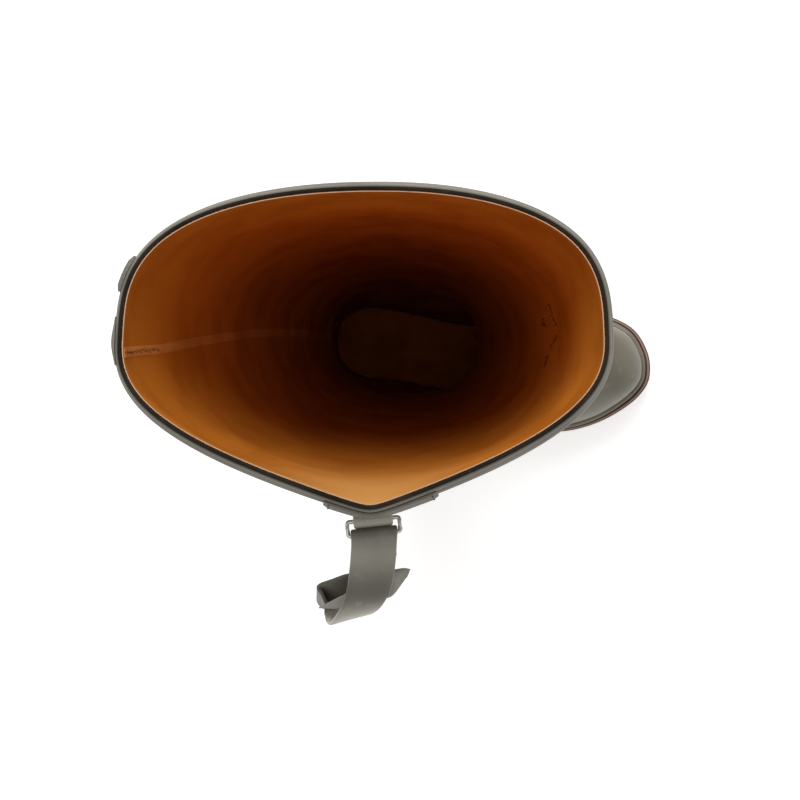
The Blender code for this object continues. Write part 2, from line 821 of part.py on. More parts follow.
def main():
    clear_scene()
    rings = foot_rings() + shaft_rings()
    normals = outward_normals(rings)
    origin = strap_origin(rings)
    things = [
        build_upper(rings, normals),
        build_foxing(rings, normals),
        build_insole(),
        build_outsole(),
        build_band(rings, normals),
        build_stay(rings, normals),
        build_patch(rings, normals),
        build_tab(rings, normals),
        build_ring(origin),
        build_chape(origin),
        build_strap(origin),
    ]
    centre_on_floor(things)


main()
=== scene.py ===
# Hip wader, the right boot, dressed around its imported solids.
# Metres. The toe points to -Y, the big-toe side to +X and the strap side to -X. The floor is at z = 0.

from math import cos, pi, radians, sin, sqrt

import bmesh
import bpy
import numpy as np
from mathutils import Matrix, Vector


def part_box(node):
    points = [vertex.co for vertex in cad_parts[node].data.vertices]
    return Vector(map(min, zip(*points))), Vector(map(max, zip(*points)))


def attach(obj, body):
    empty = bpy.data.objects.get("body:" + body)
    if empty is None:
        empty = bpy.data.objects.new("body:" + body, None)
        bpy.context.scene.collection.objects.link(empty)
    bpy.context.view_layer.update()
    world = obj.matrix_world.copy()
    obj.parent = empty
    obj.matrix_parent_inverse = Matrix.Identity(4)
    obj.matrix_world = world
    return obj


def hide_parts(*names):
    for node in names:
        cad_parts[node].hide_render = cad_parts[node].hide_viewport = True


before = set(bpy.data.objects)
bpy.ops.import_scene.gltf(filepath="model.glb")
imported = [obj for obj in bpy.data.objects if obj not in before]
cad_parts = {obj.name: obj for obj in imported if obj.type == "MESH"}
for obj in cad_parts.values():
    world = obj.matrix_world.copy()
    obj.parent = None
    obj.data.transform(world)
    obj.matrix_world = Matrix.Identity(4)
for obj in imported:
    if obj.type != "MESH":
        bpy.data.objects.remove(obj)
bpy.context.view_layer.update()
print("frame loaded:", ", ".join(sorted(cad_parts)))


# The boot's own sizes, the same as the solids have
boot = {
    "soleLength": 0.298,
    "ballWidth": 0.113,
    "heelBed": 0.027,
    "ballBed": 0.016,
    "toeSpring": 0.010,
    "lugDepth": 0.0045,
    "archLift": 0.009,
    "heelBlock": 0.080,
    "wall": 0.0023,
    "gap": 0.00035,
    "ankleHeight": 0.165,
    "ankleAhead": 0.076,
    "ankleInward": 0.0085,
    "ankleLength": 0.130,
    "ankleWidth": 0.092,
    "heelPush": 0.004,
    "rimLow": 0.740,
    "rimHigh": 0.800,
    "collarAhead": 0.0691,
    "collarInward": 0.0067,
    "collarFront": 0.1253,
    "collarBack": 0.1328,
    "collarInner": 0.0822,
    "collarOuter": 0.0873,
    "tipRounding": 0.07,
    "weltSide": 0.62,
    "collarTwist": radians(5.4),
    "bandHeight": 0.022,
    "patchHeight": 0.075,
}

around = 224  # points round the boot
quarter = around // 4
cadStep = around // 56  # the solids have 56 points round
rowStep = 0.0046  # metres between rows of the fine skin

# Outline of the sole from the heel's back by the strap side: shares of soleLength and of half ballWidth
soleOutline = (
    (0.000, 0.10), (0.026, -0.34), (0.120, -0.62), (0.250, -0.64), (0.400, -0.75), (0.550, -0.97),
    (0.680, -1.08), (0.765, -1.06), (0.860, -0.87), (0.945, -0.55), (0.990, -0.25), (1.000, 0.02),
    (0.986, 0.34), (0.942, 0.66), (0.875, 0.83), (0.790, 0.92), (0.700, 0.92), (0.580, 0.77),
    (0.430, 0.66), (0.270, 0.76), (0.120, 0.82), (0.026, 0.54),
)
outlineMarks = (0, 4, 11, 18)

footRows = (
    # front travel, front rise, side travel, side rise, back rise, heel push
    (0.000, 0.000, 0.000, 0.000, 0.000, 0.00),
    (0.000, 0.052, 0.010, 0.050, 0.055, 0.40),
    (0.004, 0.110, 0.020, 0.100, 0.120, 0.75),
    (0.016, 0.180, 0.045, 0.170, 0.205, 0.95),
    (0.048, 0.245, 0.095, 0.245, 0.295, 1.00),
    (0.115, 0.305, 0.175, 0.325, 0.385, 0.88),
    (0.235, 0.360, 0.290, 0.410, 0.480, 0.60),
    (0.410, 0.420, 0.430, 0.500, 0.580, 0.25),
    (0.600, 0.495, 0.580, 0.590, 0.670, -0.05),
    (0.780, 0.590, 0.730, 0.690, 0.760, -0.20),
    (0.900, 0.705, 0.860, 0.790, 0.840, -0.24),
    (0.968, 0.840, 0.950, 0.890, 0.920, -0.14),
    (1.000, 1.000, 1.000, 1.000, 1.000, 0.00),
)
shaftRows = (
    # rise, length, width, shift, peak
    (0.00, 0.00, 0.00, 0.00, 0.00),
    (0.09, 0.04, 0.09, 0.02, 0.00),
    (0.20, 0.15, 0.23, 0.08, 0.00),
    (0.33, 0.31, 0.40, 0.20, 0.00),
    (0.47, 0.47, 0.55, 0.40, 0.02),
    (0.61, 0.62, 0.70, 0.61, 0.10),
    (0.76, 0.79, 0.85, 0.84, 0.30),
)
belowBandRows = ((1.00, 0.945, 0.60), (0.55, 0.975, 0.74), (0.20, 0.992, 0.86))  # drop, reach, peak
bandRows = ((1.00, 0.93), (0.52, 0.97), (0.34, 0.99), (0.14, 1.00), (0.00, 1.00))  # drop, peak
anklePowers = (2.2, 2.2, 2.2, 2.2)
collarPowers = (2.19, 3.07, 0.86, 2.41)


def blend(start, end, share):
    return start + (end - start) * share


def ease(share):
    share = np.clip(share, 0.0, 1.0)
    return share * share * (3.0 - 2.0 * share)


def bedHeight(ahead):
    share = ahead / boot["soleLength"]
    height = blend(boot["heelBed"], boot["ballBed"], ease((share - 0.24) / 0.36))
    return height + boot["toeSpring"] * ease((share - 0.74) / 0.36) * 1.15


def floorGap(ahead):
    share = ahead / boot["soleLength"]
    breast = boot["heelBlock"] / boot["soleLength"]
    arch = ease((share - breast) / 0.03) * (1.0 - ease((share - 0.40) / 0.09))
    return boot["archLift"] * arch + boot["toeSpring"] * ease((share - 0.76) / 0.34) * 1.15


# A smooth curve through points: the place at t between here and there
def throughPoints(before, here, there, after, t):
    return 0.5 * (2 * here + (there - before) * t
                  + (2 * before - 5 * here + 4 * there - after) * t * t
                  + (3 * here - before - 3 * there + after) * t ** 3)


# The curve's points again, at equal steps along it and without its last one
def spread(curve, count):
    gaps = np.linalg.norm(np.diff(curve, axis=0), axis=1)
    length = np.concatenate(([0.0], np.cumsum(gaps)))
    wanted = np.linspace(0.0, length[-1], count + 1)[:-1]
    return np.stack([np.interp(wanted, length, curve[:, k]) for k in range(curve.shape[1])], axis=1)


# The sole's outline moved inward by inset, which is less along the sides, and then by further all round
def outlineRing(inset, further=0.0):
    rows = np.array([(ahead * boot["soleLength"], inward * boot["ballWidth"] / 2)
                     for ahead, inward in soleOutline])
    steps = 16  # points between two points of the outline
    curve = []
    for i in range(len(rows)):
        four = [rows[(i + k) % len(rows)] for k in (-1, 0, 1, 2)]
        curve += [throughPoints(*four, k / steps) for k in range(steps)]
    curve = np.array(curve)
    marks = [mark * steps for mark in outlineMarks] + [len(curve)]
    ring = np.concatenate([spread(curve[np.arange(a, b + 1) % len(curve)], quarter)
                           for a, b in zip(marks[:-1], marks[1:])])
    along = np.roll(ring, -2, axis=0) - np.roll(ring, 2, axis=0)
    along /= np.linalg.norm(along, axis=1)[:, None]
    share = blend(boot["weltSide"], 1.0, np.abs(np.cos(np.arange(around) * 2 * pi / around)) ** 6)
    return ring + np.stack([-along[:, 1], along[:, 0]], axis=1) * (inset * share + further)[:, None]


# One ring of the shaft from four quarters, each with its own reach and fullness. Rounding blunts its tip
# on the strap side.
def sectionRing(centre, reaches, powers, twist, rounding):
    front, back, inner, outer = reaches
    innerAlong, innerAcross, outerAlong, outerAcross = powers
    quarters = (
        (-back, -outer, outerAlong, outerAcross, rounding, False),
        (front, -outer, outerAlong, outerAcross, rounding, True),
        (front, inner, innerAlong, innerAcross, 0.0, False),
        (-back, inner, innerAlong, innerAcross, 0.0, True),
    )
    parts = []
    for alongReach, acrossReach, alongPower, acrossPower, blunt, flip in quarters:
        angle = np.linspace(0.0, pi / 2, 181)
        share = np.cos(angle) ** (2.0 / alongPower)
        eased = (np.sqrt(share ** 2 + blunt ** 2) - blunt) / (sqrt(1.0 + blunt ** 2) - blunt)
        across = np.clip(1.0 - eased ** alongPower, 0.0, 1.0) ** (1.0 / acrossPower)
        piece = np.stack([alongReach * share, acrossReach * across], axis=1)
        parts.append(spread(piece[::-1] if flip else piece, quarter))
    ring = np.concatenate(parts)
    ahead = centre[0] + ring[:, 0] * cos(twist) - ring[:, 1] * sin(twist)
    inward = centre[1] + ring[:, 0] * sin(twist) + ring[:, 1] * cos(twist)
    return np.stack([ahead, inward], axis=1)


def shaftSection(length, width, shift, peak, reach=1.0):
    centre = (blend(boot["ankleAhead"], boot["collarAhead"], shift),
              blend(boot["ankleInward"], boot["collarInward"], shift))
    reaches = (
        blend(boot["ankleLength"] / 2, boot["collarFront"] * reach, length),
        blend(boot["ankleLength"] / 2, boot["collarBack"] * reach, length),
        blend(boot["ankleWidth"] / 2, boot["collarInner"] * reach, width),
        blend(boot["ankleWidth"] / 2, boot["collarOuter"] * reach, width),
    )
    powers = [blend(a, c, peak) for a, c in zip(anklePowers, collarPowers)]
    return sectionRing(centre, reaches, powers, boot["collarTwist"] * shift, boot["tipRounding"] * peak)


def rimHeights(ring):
    span = boot["collarInner"] + boot["collarOuter"]
    share = (boot["collarInward"] + boot["collarInner"] - ring[:, 1]) / span
    return blend(boot["rimLow"], boot["rimHigh"], np.clip(share, 0.0, 1.0))


def footRings(inset):
    base = outlineRing(inset)
    ankle = shaftSection(*shaftRows[0][1:])
    turn = np.arange(around) * 2 * pi / around
    backWeight = np.clip(np.cos(turn), 0.0, 1.0) ** 2
    frontWeight = np.clip(-np.cos(turn), 0.0, 1.0) ** 2
    sideWeight = np.sin(turn) ** 2
    rings = []
    for frontTravel, frontRise, sideTravel, sideRise, backRise, push in footRows:
        travel = frontTravel * frontWeight + sideTravel * (sideWeight + backWeight)
        rise = frontRise * frontWeight + sideRise * sideWeight + backRise * backWeight
        plan = base + (ankle - base) * travel[:, None]
        plan[:, 0] -= push * boot["heelPush"] * backWeight
        level = ease(rise)
        up = rise * boot["ankleHeight"] + blend(bedHeight(plan[:, 0]), boot["heelBed"], level) + boot["gap"]
        rings.append(np.column_stack([plan, up]))
    return rings


def shaftRings():
    top = shaftSection(1.0, 1.0, 1.0, 1.0)
    rim = rimHeights(top)
    floor = boot["ankleHeight"] + boot["heelBed"] + boot["gap"]
    rings = []
    for rise, length, width, shift, peak in shaftRows[1:]:
        rings.append(np.column_stack([shaftSection(length, width, shift, peak), blend(floor, rim, rise)]))
    for drop, reach, peak in belowBandRows:
        up = rim - boot["bandHeight"] - drop * (boot["patchHeight"] - boot["bandHeight"])
        rings.append(np.column_stack([shaftSection(1.0, 1.0, 1.0, peak, reach), up]))
    for drop, peak in bandRows:
        rings.append(np.column_stack([shaftSection(1.0, 1.0, 1.0, peak), rim - drop * boot["bandHeight"]]))
    return rings


# Rows between the given rings, on smooth curves along the boot, and where the given rings landed
def refineRows(rings, step):
    grid = np.array(rings)
    gaps = np.linalg.norm(np.diff(grid, axis=0), axis=2)[:, :, None]
    slope = np.diff(grid, axis=0) / gaps
    tangent = np.empty_like(grid)
    tangent[0] = slope[0]
    tangent[-1] = slope[-1]
    tangent[1:-1] = (slope[:-1] * gaps[1:] + slope[1:] * gaps[:-1]) / (gaps[:-1] + gaps[1:])
    fine = []
    marks = []
    for i in range(len(grid) - 1):
        marks.append(len(fine))
        count = max(1, int(round(float(gaps[i].mean()) / step)))
        for k in range(count):
            t = k / count
            fine.append((2 * t ** 3 - 3 * t * t + 1) * grid[i]
                        + (t ** 3 - 2 * t * t + t) * gaps[i] * tangent[i]
                        + (3 * t * t - 2 * t ** 3) * grid[i + 1]
                        + (t ** 3 - t * t) * gaps[i] * tangent[i + 1])
    marks.append(len(fine))
    fine.append(grid[-1])
    return np.array(fine), marks


# Where the heel's back and the foot's middle line stand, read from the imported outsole
soleLow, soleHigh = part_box("outsole")
edgeRing = outlineRing(0.0)
heelY = soleHigh.y + edgeRing[:, 0].min()
middleX = soleLow.x - edgeRing[:, 1].min()


def toWorld(points):
    points = np.asarray(points, dtype=float)
    return np.stack([middleX + points[..., 1], heelY - points[..., 0], points[..., 2]], axis=-1)


def gridNormals(grid):
    sideways = np.roll(grid, -1, axis=1) - np.roll(grid, 1, axis=1)
    upward = np.gradient(grid, axis=0)
    normals = np.cross(sideways, upward)
    normals[0, :, 2] = 0.0
    normals[-1, :, 2] = 0.0
    return normals / np.linalg.norm(normals, axis=2)[:, :, None]


# Soft folds of the skin. A fold runs round the boot at a height and may slope.
folds = (
    # degrees from the back by the strap side, height, half span in degrees, slope, half width, depth
    (180, 0.150, 62, 0.000, 0.0075, -0.0026),
    (180, 0.168, 56, 0.002, 0.0080, 0.0016),
    (176, 0.187, 66, -0.004, 0.0090, -0.0030),
    (184, 0.209, 58, 0.003, 0.0090, 0.0014),
    (178, 0.228, 48, -0.006, 0.0100, -0.0018),
    (112, 0.196, 34, 0.012, 0.0080, -0.0016),
    (250, 0.202, 36, -0.012, 0.0080, -0.0018),
    (352, 0.128, 40, 0.004, 0.0070, -0.0012),
    (6, 0.186, 44, -0.004, 0.0085, -0.0020),
    (2, 0.207, 40, 0.003, 0.0080, 0.0010),
    (330, 0.262, 46, 0.016, 0.0130, -0.0016),
    (60, 0.305, 52, -0.018, 0.0150, -0.0018),
    (205, 0.345, 60, 0.020, 0.0170, -0.0016),
    (290, 0.412, 54, -0.024, 0.0180, -0.0014),
    (120, 0.460, 50, 0.026, 0.0180, -0.0013),
    (20, 0.520, 44, -0.020, 0.0200, -0.0012),
    (222, 0.585, 40, 0.022, 0.0190, -0.0012),
)
# Wide swellings just under the band, in the same terms
bulges = (
    (38, 0.716, 30, 0.004, 0.0260, 0.0040),
    (330, 0.700, 26, 0.000, 0.0260, 0.0014),
    (150, 0.700, 26, 0.000, 0.0260, 0.0014),
)
# Long shallow waves that run up the shaft
waves = (
    # degrees, half width in degrees, low end, high end, depth
    (28, 16, 0.28, 0.70, -0.0016),
    (64, 20, 0.34, 0.74, 0.0014),
    (118, 16, 0.30, 0.68, -0.0014),
    (160, 20, 0.36, 0.74, -0.0010),
    (214, 18, 0.30, 0.72, 0.0012),
    (246, 15, 0.34, 0.70, -0.0016),
    (300, 20, 0.28, 0.68, -0.0012),
    (334, 16, 0.36, 0.72, 0.0012),
)


foldLook = {
    "shaftShare": 0.22,  # the tall shaft is smoother than the ankle
    "shaftFrom": 0.20,
    "shaftOver": 0.05,
    "rimFade": 0.014,
    "footFrom": 0.048,
    "footFade": 0.025,
}


def roundTroughs(table, turn, height):
    depth = np.zeros(height.shape)
    for centre, level, halfSpan, slope, halfWidth, amount in table:
        sideways = ((turn - centre + 180) % 360 - 180) / halfSpan
        fade = np.clip(1.0 - sideways ** 2, 0.0, 1.0) ** 2
        offset = (height - (level + slope * sideways)) / halfWidth
        depth += amount * fade * np.exp(-offset ** 2)
    return depth


def foldDepth(grid, rim):
    turn = np.degrees(np.arange(around) * 2 * pi / around)[None, :]
    height = grid[:, :, 2]
    depth = roundTroughs(folds, turn, height)
    for centre, halfWidth, low, high, amount in waves:
        sideways = ((turn - centre + 180) % 360 - 180) / halfWidth
        rise = (height - low) / (high - low)
        depth += amount * np.exp(-sideways ** 2) * ease(rise * 3) * ease((1 - rise) * 3)
    onShaft = ease((height - foldLook["shaftFrom"]) / foldLook["shaftOver"])
    depth *= blend(1.0, foldLook["shaftShare"], onShaft)
    depth += roundTroughs(bulges, turn, height)
    keepRim = ease((rim[None, :] - height - boot["bandHeight"]) / foldLook["rimFade"])
    keepFoot = ease((height - foldLook["footFrom"]) / foldLook["footFade"])
    return depth * keepRim * keepFoot


# What stands between the sole's edge and the upper
edgeParts = {"sideStep": 0.0016, "weltTop": 0.0022, "groove": 0.0024, "rounding": 0.0009, "foxing": 0.0022}
upperInset = sum(edgeParts.values()) + boot["gap"]
skin, cadRowAt = refineRows(footRings(upperInset) + shaftRings(), rowStep)
skin = toWorld(skin)
rimRing = skin[-1]
skin = skin + gridNormals(skin) * foldDepth(skin, rimRing[:, 2])[:, :, None]
skinNormals = gridNormals(skin)
print("skin:", skin.shape[0], "rows of", skin.shape[1], "points")


# All rows of the skin, moved away from it along their normals
def layer(away):
    return skin + skinNormals * away


# The skin's ring at one drop below the rim, moved away from it level with the floor
def ringBelowRim(drop, away):
    ring = np.empty((around, 3))
    for i in range(around):
        heights = skin[:, i, 2]
        level = min(rimRing[i, 2] - drop, rimRing[i, 2])
        place = [np.interp(level, heights, skin[:, i, k]) for k in (0, 1)]
        out = [np.interp(level, heights, skinNormals[:, i, k]) for k in (0, 1)]
        size = np.hypot(*out)
        ring[i] = (place[0] + out[0] / size * away, place[1] + out[1] / size * away, rimRing[i, 2] - drop)
    return ring


# Meshes

def meshPiece(name, verts, faces, corners, sharpAngle=50, values=None):
    mesh = bpy.data.meshes.new(name)
    mesh.from_pydata([tuple(v) for v in verts], [], faces)
    flat = mesh.uv_layers.new(name="flat")
    flat.data.foreach_set("uv", np.asarray(corners, dtype=np.float32).ravel())
    for key, numbers in (values or {}).items():
        attribute = mesh.attributes.new(key, "FLOAT", "POINT")
        attribute.data.foreach_set("value", np.asarray(numbers, dtype=np.float32).ravel())
    bm = bmesh.new()
    bm.from_mesh(mesh)
    bmesh.ops.recalc_face_normals(bm, faces=bm.faces)
    if bm.calc_volume(signed=True) < 0:
        bmesh.ops.reverse_faces(bm, faces=bm.faces)
    bm.to_mesh(mesh)
    bm.free()
    mesh.shade_smooth()
    mesh.set_sharp_from_angle(angle=radians(sharpAngle))
    thing = bpy.data.objects.new(name, mesh)
    bpy.context.scene.collection.objects.link(thing)
    return thing


def rowLengths(grid):
    gaps = np.linalg.norm(np.diff(grid, axis=0), axis=2).mean(axis=1)
    return np.concatenate(([0.0], np.cumsum(gaps)))


# The faces that close a flat end: strips across a ring, from point i to the point opposite
def flatEnd(points):
    strips = [(i, i + 1, (points - i - 1) % points, (points - i) % points) for i in range(points // 2)]
    return [tuple(dict.fromkeys(strip)) for strip in strips]


# The same for a band with rounded edges, whose flat sides have so many steps
def bandEnds(steps):
    turn = 4  # points that a rounded edge adds
    strips = [(i, i + 1, 2 * steps + turn - 1 - i, 2 * steps + turn - i) for i in range(steps)]
    right = tuple(range(steps, steps + turn + 1))
    left = tuple(range(2 * steps + turn, 2 * steps + 2 * turn)) + (0,)
    return strips + [right, left]


# Rings joined in turn. Without ends, the last joins the first: a closed wall.
def ringSolid(name, rings, girth, ends=None, sharpAngle=50, values=None):
    grid = np.array(rings)
    count, points = grid.shape[:2]
    index = np.arange(count * points).reshape(count, points)
    lengths = rowLengths(grid)
    faces = []
    corners = []
    for low in range(count - 1 if ends else count):
        high = (low + 1) % count
        top = lengths[high] if high else lengths[-1] + 0.001
        for i in range(points):
            j = (i + 1) % points
            faces.append((index[low, i], index[low, j], index[high, j], index[high, i]))
            corners += [(i / points * girth, lengths[low]), ((i + 1) / points * girth, lengths[low]),
                        ((i + 1) / points * girth, top), (i / points * girth, top)]
    for row in (0, count - 1):
        for strip in ends or ():
            faces.append(tuple(index[row, k] for k in strip))
            corners += [tuple(grid[row, k, :2]) for k in strip]
    return meshPiece(name, grid.reshape(-1, 3), faces, corners, sharpAngle, values)


# Two open grids joined along their four edges: a closed plate
def plateSolid(name, outer, inner, sharpAngle=50):
    outer = np.array(outer)
    inner = np.array(inner)
    rows, columns = outer.shape[:2]
    index = np.arange(rows * columns).reshape(rows, columns)
    under = index + rows * columns
    high = rowLengths(outer)
    wide = rowLengths(outer.transpose(1, 0, 2))
    place = np.stack(np.meshgrid(wide, high), axis=-1).reshape(-1, 2)
    place = np.concatenate([place, place])
    faces = []
    for i in range(rows - 1):
        for j in range(columns - 1):
            faces.append((index[i, j], index[i, j + 1], index[i + 1, j + 1], index[i + 1, j]))
            faces.append((under[i, j], under[i + 1, j], under[i + 1, j + 1], under[i, j + 1]))
    edge = (list(index[0]) + list(index[1:, -1]) + list(index[-1, ::-1][1:]) + list(index[::-1, 0][1:-1]))
    low = (list(under[0]) + list(under[1:, -1]) + list(under[-1, ::-1][1:]) + list(under[::-1, 0][1:-1]))
    for i in range(len(edge)):
        j = (i + 1) % len(edge)
        faces.append((edge[i], low[i], low[j], edge[j]))
    corners = [tuple(place[v]) for face in faces for v in face]
    verts = np.concatenate([outer.reshape(-1, 3), inner.reshape(-1, 3)])
    return meshPiece(name, verts, faces, corners, sharpAngle)


# Gives a piece its material and body, and hides the solid it dresses, if any
def wear(thing, material, node):
    thing.data.materials.clear()
    thing.data.materials.append(material)
    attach(thing, "root")
    if node:
        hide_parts(node)


# Materials

def colour(code):
    parts = [int(code[i:i + 2], 16) / 255 for i in (1, 3, 5)]
    linear = [p / 12.92 if p <= 0.04045 else ((p + 0.055) / 1.055) ** 2.4 for p in parts]
    return (*linear, 1.0)


def addNode(tree, kind, settings=None, links=None):
    node = tree.nodes.new(kind)
    for key, value in (settings or {}).items():
        setattr(node, key, value)
    for key, value in (links or {}).items():
        if isinstance(value, bpy.types.NodeSocket):
            tree.links.new(value, node.inputs[key])
        else:
            node.inputs[key].default_value = value
    return node


def newMaterial(name):
    material = bpy.data.materials.new(name)
    material.use_nodes = True
    tree = material.node_tree
    shader = tree.nodes["Principled BSDF"]
    return material, tree, shader


# For a mix of colours: its input 0 is the share, 6 and 7 are the colours, and output 2 is the result
blending = {"data_type": "RGBA"}


# Soft clouds between 0 and 1
def noiseMask(tree, place, scale, low, high, detail=4.0):
    noise = addNode(tree, "ShaderNodeTexNoise", {}, {"Vector": place, "Scale": scale, "Detail": detail})
    ramp = addNode(tree, "ShaderNodeMapRange", {"interpolation_type": "SMOOTHSTEP"},
                   {"Value": noise.outputs["Fac"], "From Min": low, "From Max": high})
    return ramp.outputs["Result"]


# Layers of height, strength and distance, one bump on top of the other
def addBump(tree, shader, layers):
    normal = None
    for height, strength, distance in layers:
        links = {"Height": height, "Strength": strength, "Distance": distance}
        if normal is not None:
            links["Normal"] = normal
        normal = addNode(tree, "ShaderNodeBump", {}, links).outputs["Normal"]
    tree.links.new(normal, shader.inputs["Normal"])


rubberLook = {
    "grainMm": 1.1,  # real grain is near 0.2 mm, drawn coarser so that it shows
    "patchMm": 45.0,
    "dustMm": 9.0,
    "dustShare": 0.45,
    "dustDull": 0.16,
    "ior": 1.52,
    "unevenScale": 70.0,
}


# Vulcanised rubber sheet, calendered and satin: soft broad highlights, a faint grain and pale dust
def rubber(name, base, dark, pale, roughness, grain=0.16, edgeKey=None, edgeColour=None, hatchMm=None,
           shine=0.5):
    material, tree, shader = newMaterial(name)
    place = addNode(tree, "ShaderNodeTexCoord").outputs["Object"]
    patches = noiseMask(tree, place, 1000 / rubberLook["patchMm"], 0.38, 0.64)
    tint = addNode(tree, "ShaderNodeMix", blending, {0: patches, 6: colour(base), 7: colour(dark)}).outputs[2]
    dust = noiseMask(tree, place, 1000 / rubberLook["dustMm"], 0.58, 0.80, 8.0)
    shade = addNode(tree, "ShaderNodeMath", {"operation": "MULTIPLY"},
                    {0: dust, 1: rubberLook["dustShare"]}).outputs[0]
    tint = addNode(tree, "ShaderNodeMix", blending, {0: shade, 6: tint, 7: colour(pale)}).outputs[2]
    if edgeKey:
        edge = addNode(tree, "ShaderNodeAttribute", {"attribute_name": edgeKey}).outputs["Fac"]
        tint = addNode(tree, "ShaderNodeMix", blending, {0: edge, 6: tint, 7: colour(edgeColour)}).outputs[2]
    tree.links.new(tint, shader.inputs["Base Color"])
    gloss = addNode(tree, "ShaderNodeMapRange", {},
                    {"Value": dust, "To Min": roughness, "To Max": roughness + rubberLook["dustDull"]})
    tree.links.new(gloss.outputs["Result"], shader.inputs["Roughness"])
    shader.inputs["IOR"].default_value = rubberLook["ior"]
    shader.inputs["Specular IOR Level"].default_value = shine
    fine = addNode(tree, "ShaderNodeTexNoise", {},
                   {"Vector": place, "Scale": 1000 / rubberLook["grainMm"], "Detail": 3.0}).outputs["Fac"]
    broad = addNode(tree, "ShaderNodeTexNoise", {},
                    {"Vector": place, "Scale": rubberLook["unevenScale"], "Detail": 2.0}).outputs["Fac"]
    layers = [(broad, 0.25, 0.0008), (fine, grain, 0.0003)]
    if hatchMm:
        flat = addNode(tree, "ShaderNodeUVMap", {"uv_map": "flat"}).outputs["UV"]
        for turn in (radians(38), radians(-38)):
            turned = addNode(tree, "ShaderNodeMapping", {},
                             {"Vector": flat, "Rotation": (0.0, 0.0, turn)}).outputs["Vector"]
            lines = addNode(tree, "ShaderNodeTexWave", {"wave_type": "BANDS", "bands_direction": "X"},
                            {"Vector": turned, "Scale": 1000 / hatchMm / 20.0 * 3.1416}).outputs["Fac"]
            layers.append((lines, 0.9, 0.0009))
    addBump(tree, shader, layers)
    return material


clothLook = {
    "threadMm": 1.3,  # real knit is near 0.6 mm, drawn coarser so that it shows
    "liningLit": "#cb7e27",
    "liningDeep": "#ba6f1e",
    "liningPaintedLight": "#dca158",
    "cutEdge": "#d0a888",
    "grooveShade": 0.12,
    "roughness": 0.92,
    "shine": 0.08,
    "lintScale": 900.0,
}


# Knitted cotton bonded to the rubber: a soft, dull orange face with fine loops
def cloth(name, lit, deep, marks=(), threadMm=None):
    material, tree, shader = newMaterial(name)
    place = addNode(tree, "ShaderNodeTexCoord").outputs["Object"]
    flat = addNode(tree, "ShaderNodeUVMap", {"uv_map": "flat"}).outputs["UV"]
    pitch = 1000 / (threadMm or clothLook["threadMm"])
    loops = []
    for turn in (0.0, pi / 2):
        turned = addNode(tree, "ShaderNodeMapping", {},
                         {"Vector": flat, "Rotation": (0.0, 0.0, turn)}).outputs["Vector"]
        wave = addNode(tree, "ShaderNodeTexWave", {"wave_type": "BANDS", "bands_direction": "X"},
                       {"Vector": turned, "Scale": pitch / 6.2832 * 2.0, "Distortion": 1.2, "Detail": 1.0,
                        "Detail Scale": 2.0})
        loops.append(wave.outputs["Fac"])
    weave = addNode(tree, "ShaderNodeMath", {"operation": "MULTIPLY"}, {0: loops[0], 1: loops[1]}).outputs[0]
    cloudy = noiseMask(tree, place, 26.0, 0.36, 0.68, 5.0)
    tint = addNode(tree, "ShaderNodeMix", blending, {0: cloudy, 6: colour(lit), 7: colour(deep)}).outputs[2]
    shade = addNode(tree, "ShaderNodeMapRange", {},
                    {"Value": weave, "To Min": clothLook["grooveShade"], "To Max": 0.0}).outputs["Result"]
    tint = addNode(tree, "ShaderNodeMix", {"data_type": "RGBA", "blend_type": "MULTIPLY"},
                   {0: shade, 6: tint, 7: colour(deep)}).outputs[2]
    for key, code in marks:
        mark = addNode(tree, "ShaderNodeAttribute", {"attribute_name": key}).outputs["Fac"]
        tint = addNode(tree, "ShaderNodeMix", blending, {0: mark, 6: tint, 7: colour(code)}).outputs[2]
    tree.links.new(tint, shader.inputs["Base Color"])
    shader.inputs["Roughness"].default_value = clothLook["roughness"]
    shader.inputs["Specular IOR Level"].default_value = clothLook["shine"]
    lint = addNode(tree, "ShaderNodeTexNoise", {},
                   {"Vector": place, "Scale": clothLook["lintScale"], "Detail": 2.0}).outputs["Fac"]
    addBump(tree, shader, ((weave, 0.12, 0.0004), (lint, 0.2, 0.0003)))
    return material


# Nickel-plated steel wire: bright, with drawn lines and faint dulling
def plated(name, base, dull, roughness):
    material, tree, shader = newMaterial(name)
    place = addNode(tree, "ShaderNodeTexCoord").outputs["Object"]
    # Dull, worn spots on the plating
    wearAndPaintedLight = noiseMask(tree, place, 420.0, 0.45, 0.75)
    tint = addNode(tree, "ShaderNodeMix", blending, {0: wearAndPaintedLight, 6: colour(base), 7: colour(dull)}).outputs[2]
    tree.links.new(tint, shader.inputs["Base Color"])
    gloss = addNode(tree, "ShaderNodeMapRange", {},
                    {"Value": wearAndPaintedLight, "To Min": roughness, "To Max": roughness + 0.22})
    tree.links.new(gloss.outputs["Result"], shader.inputs["Roughness"])
    shader.inputs["Metallic"].default_value = 1.0
    stretched = addNode(tree, "ShaderNodeMapping", {},
                        {"Vector": place, "Scale": (2600.0, 300.0, 2600.0)}).outputs["Vector"]
    lines = addNode(tree, "ShaderNodeTexNoise", {},
                    {"Vector": stretched, "Scale": 1.0, "Detail": 2.0}).outputs["Fac"]
    addBump(tree, shader, ((lines, 0.12, 0.0001),))
    return material


# Calendered and vulcanised sheet of the shaft: satin grey-green with slow clouds
shaftRubber = rubber("vulcanised_shaft_rubber", "#777262", "#6a6556", "#8d8774", 0.50)
# Moulded strip, a little smoother and lighter than the shaft
foxingRubber = rubber("moulded_foxing_rubber", "#857e6a", "#77705d", "#9a937e", 0.46)
# Folded sheet of the rim, darker along its top, with painted shade in its dip and under its lower edge
bandRubber = rubber("calendered_band_rubber", "#7a7567", "#676255", "#948e7d", 0.50, 0.2,
                    "darkTopAndPaintedShade", "#1d1813", shine=0.4)
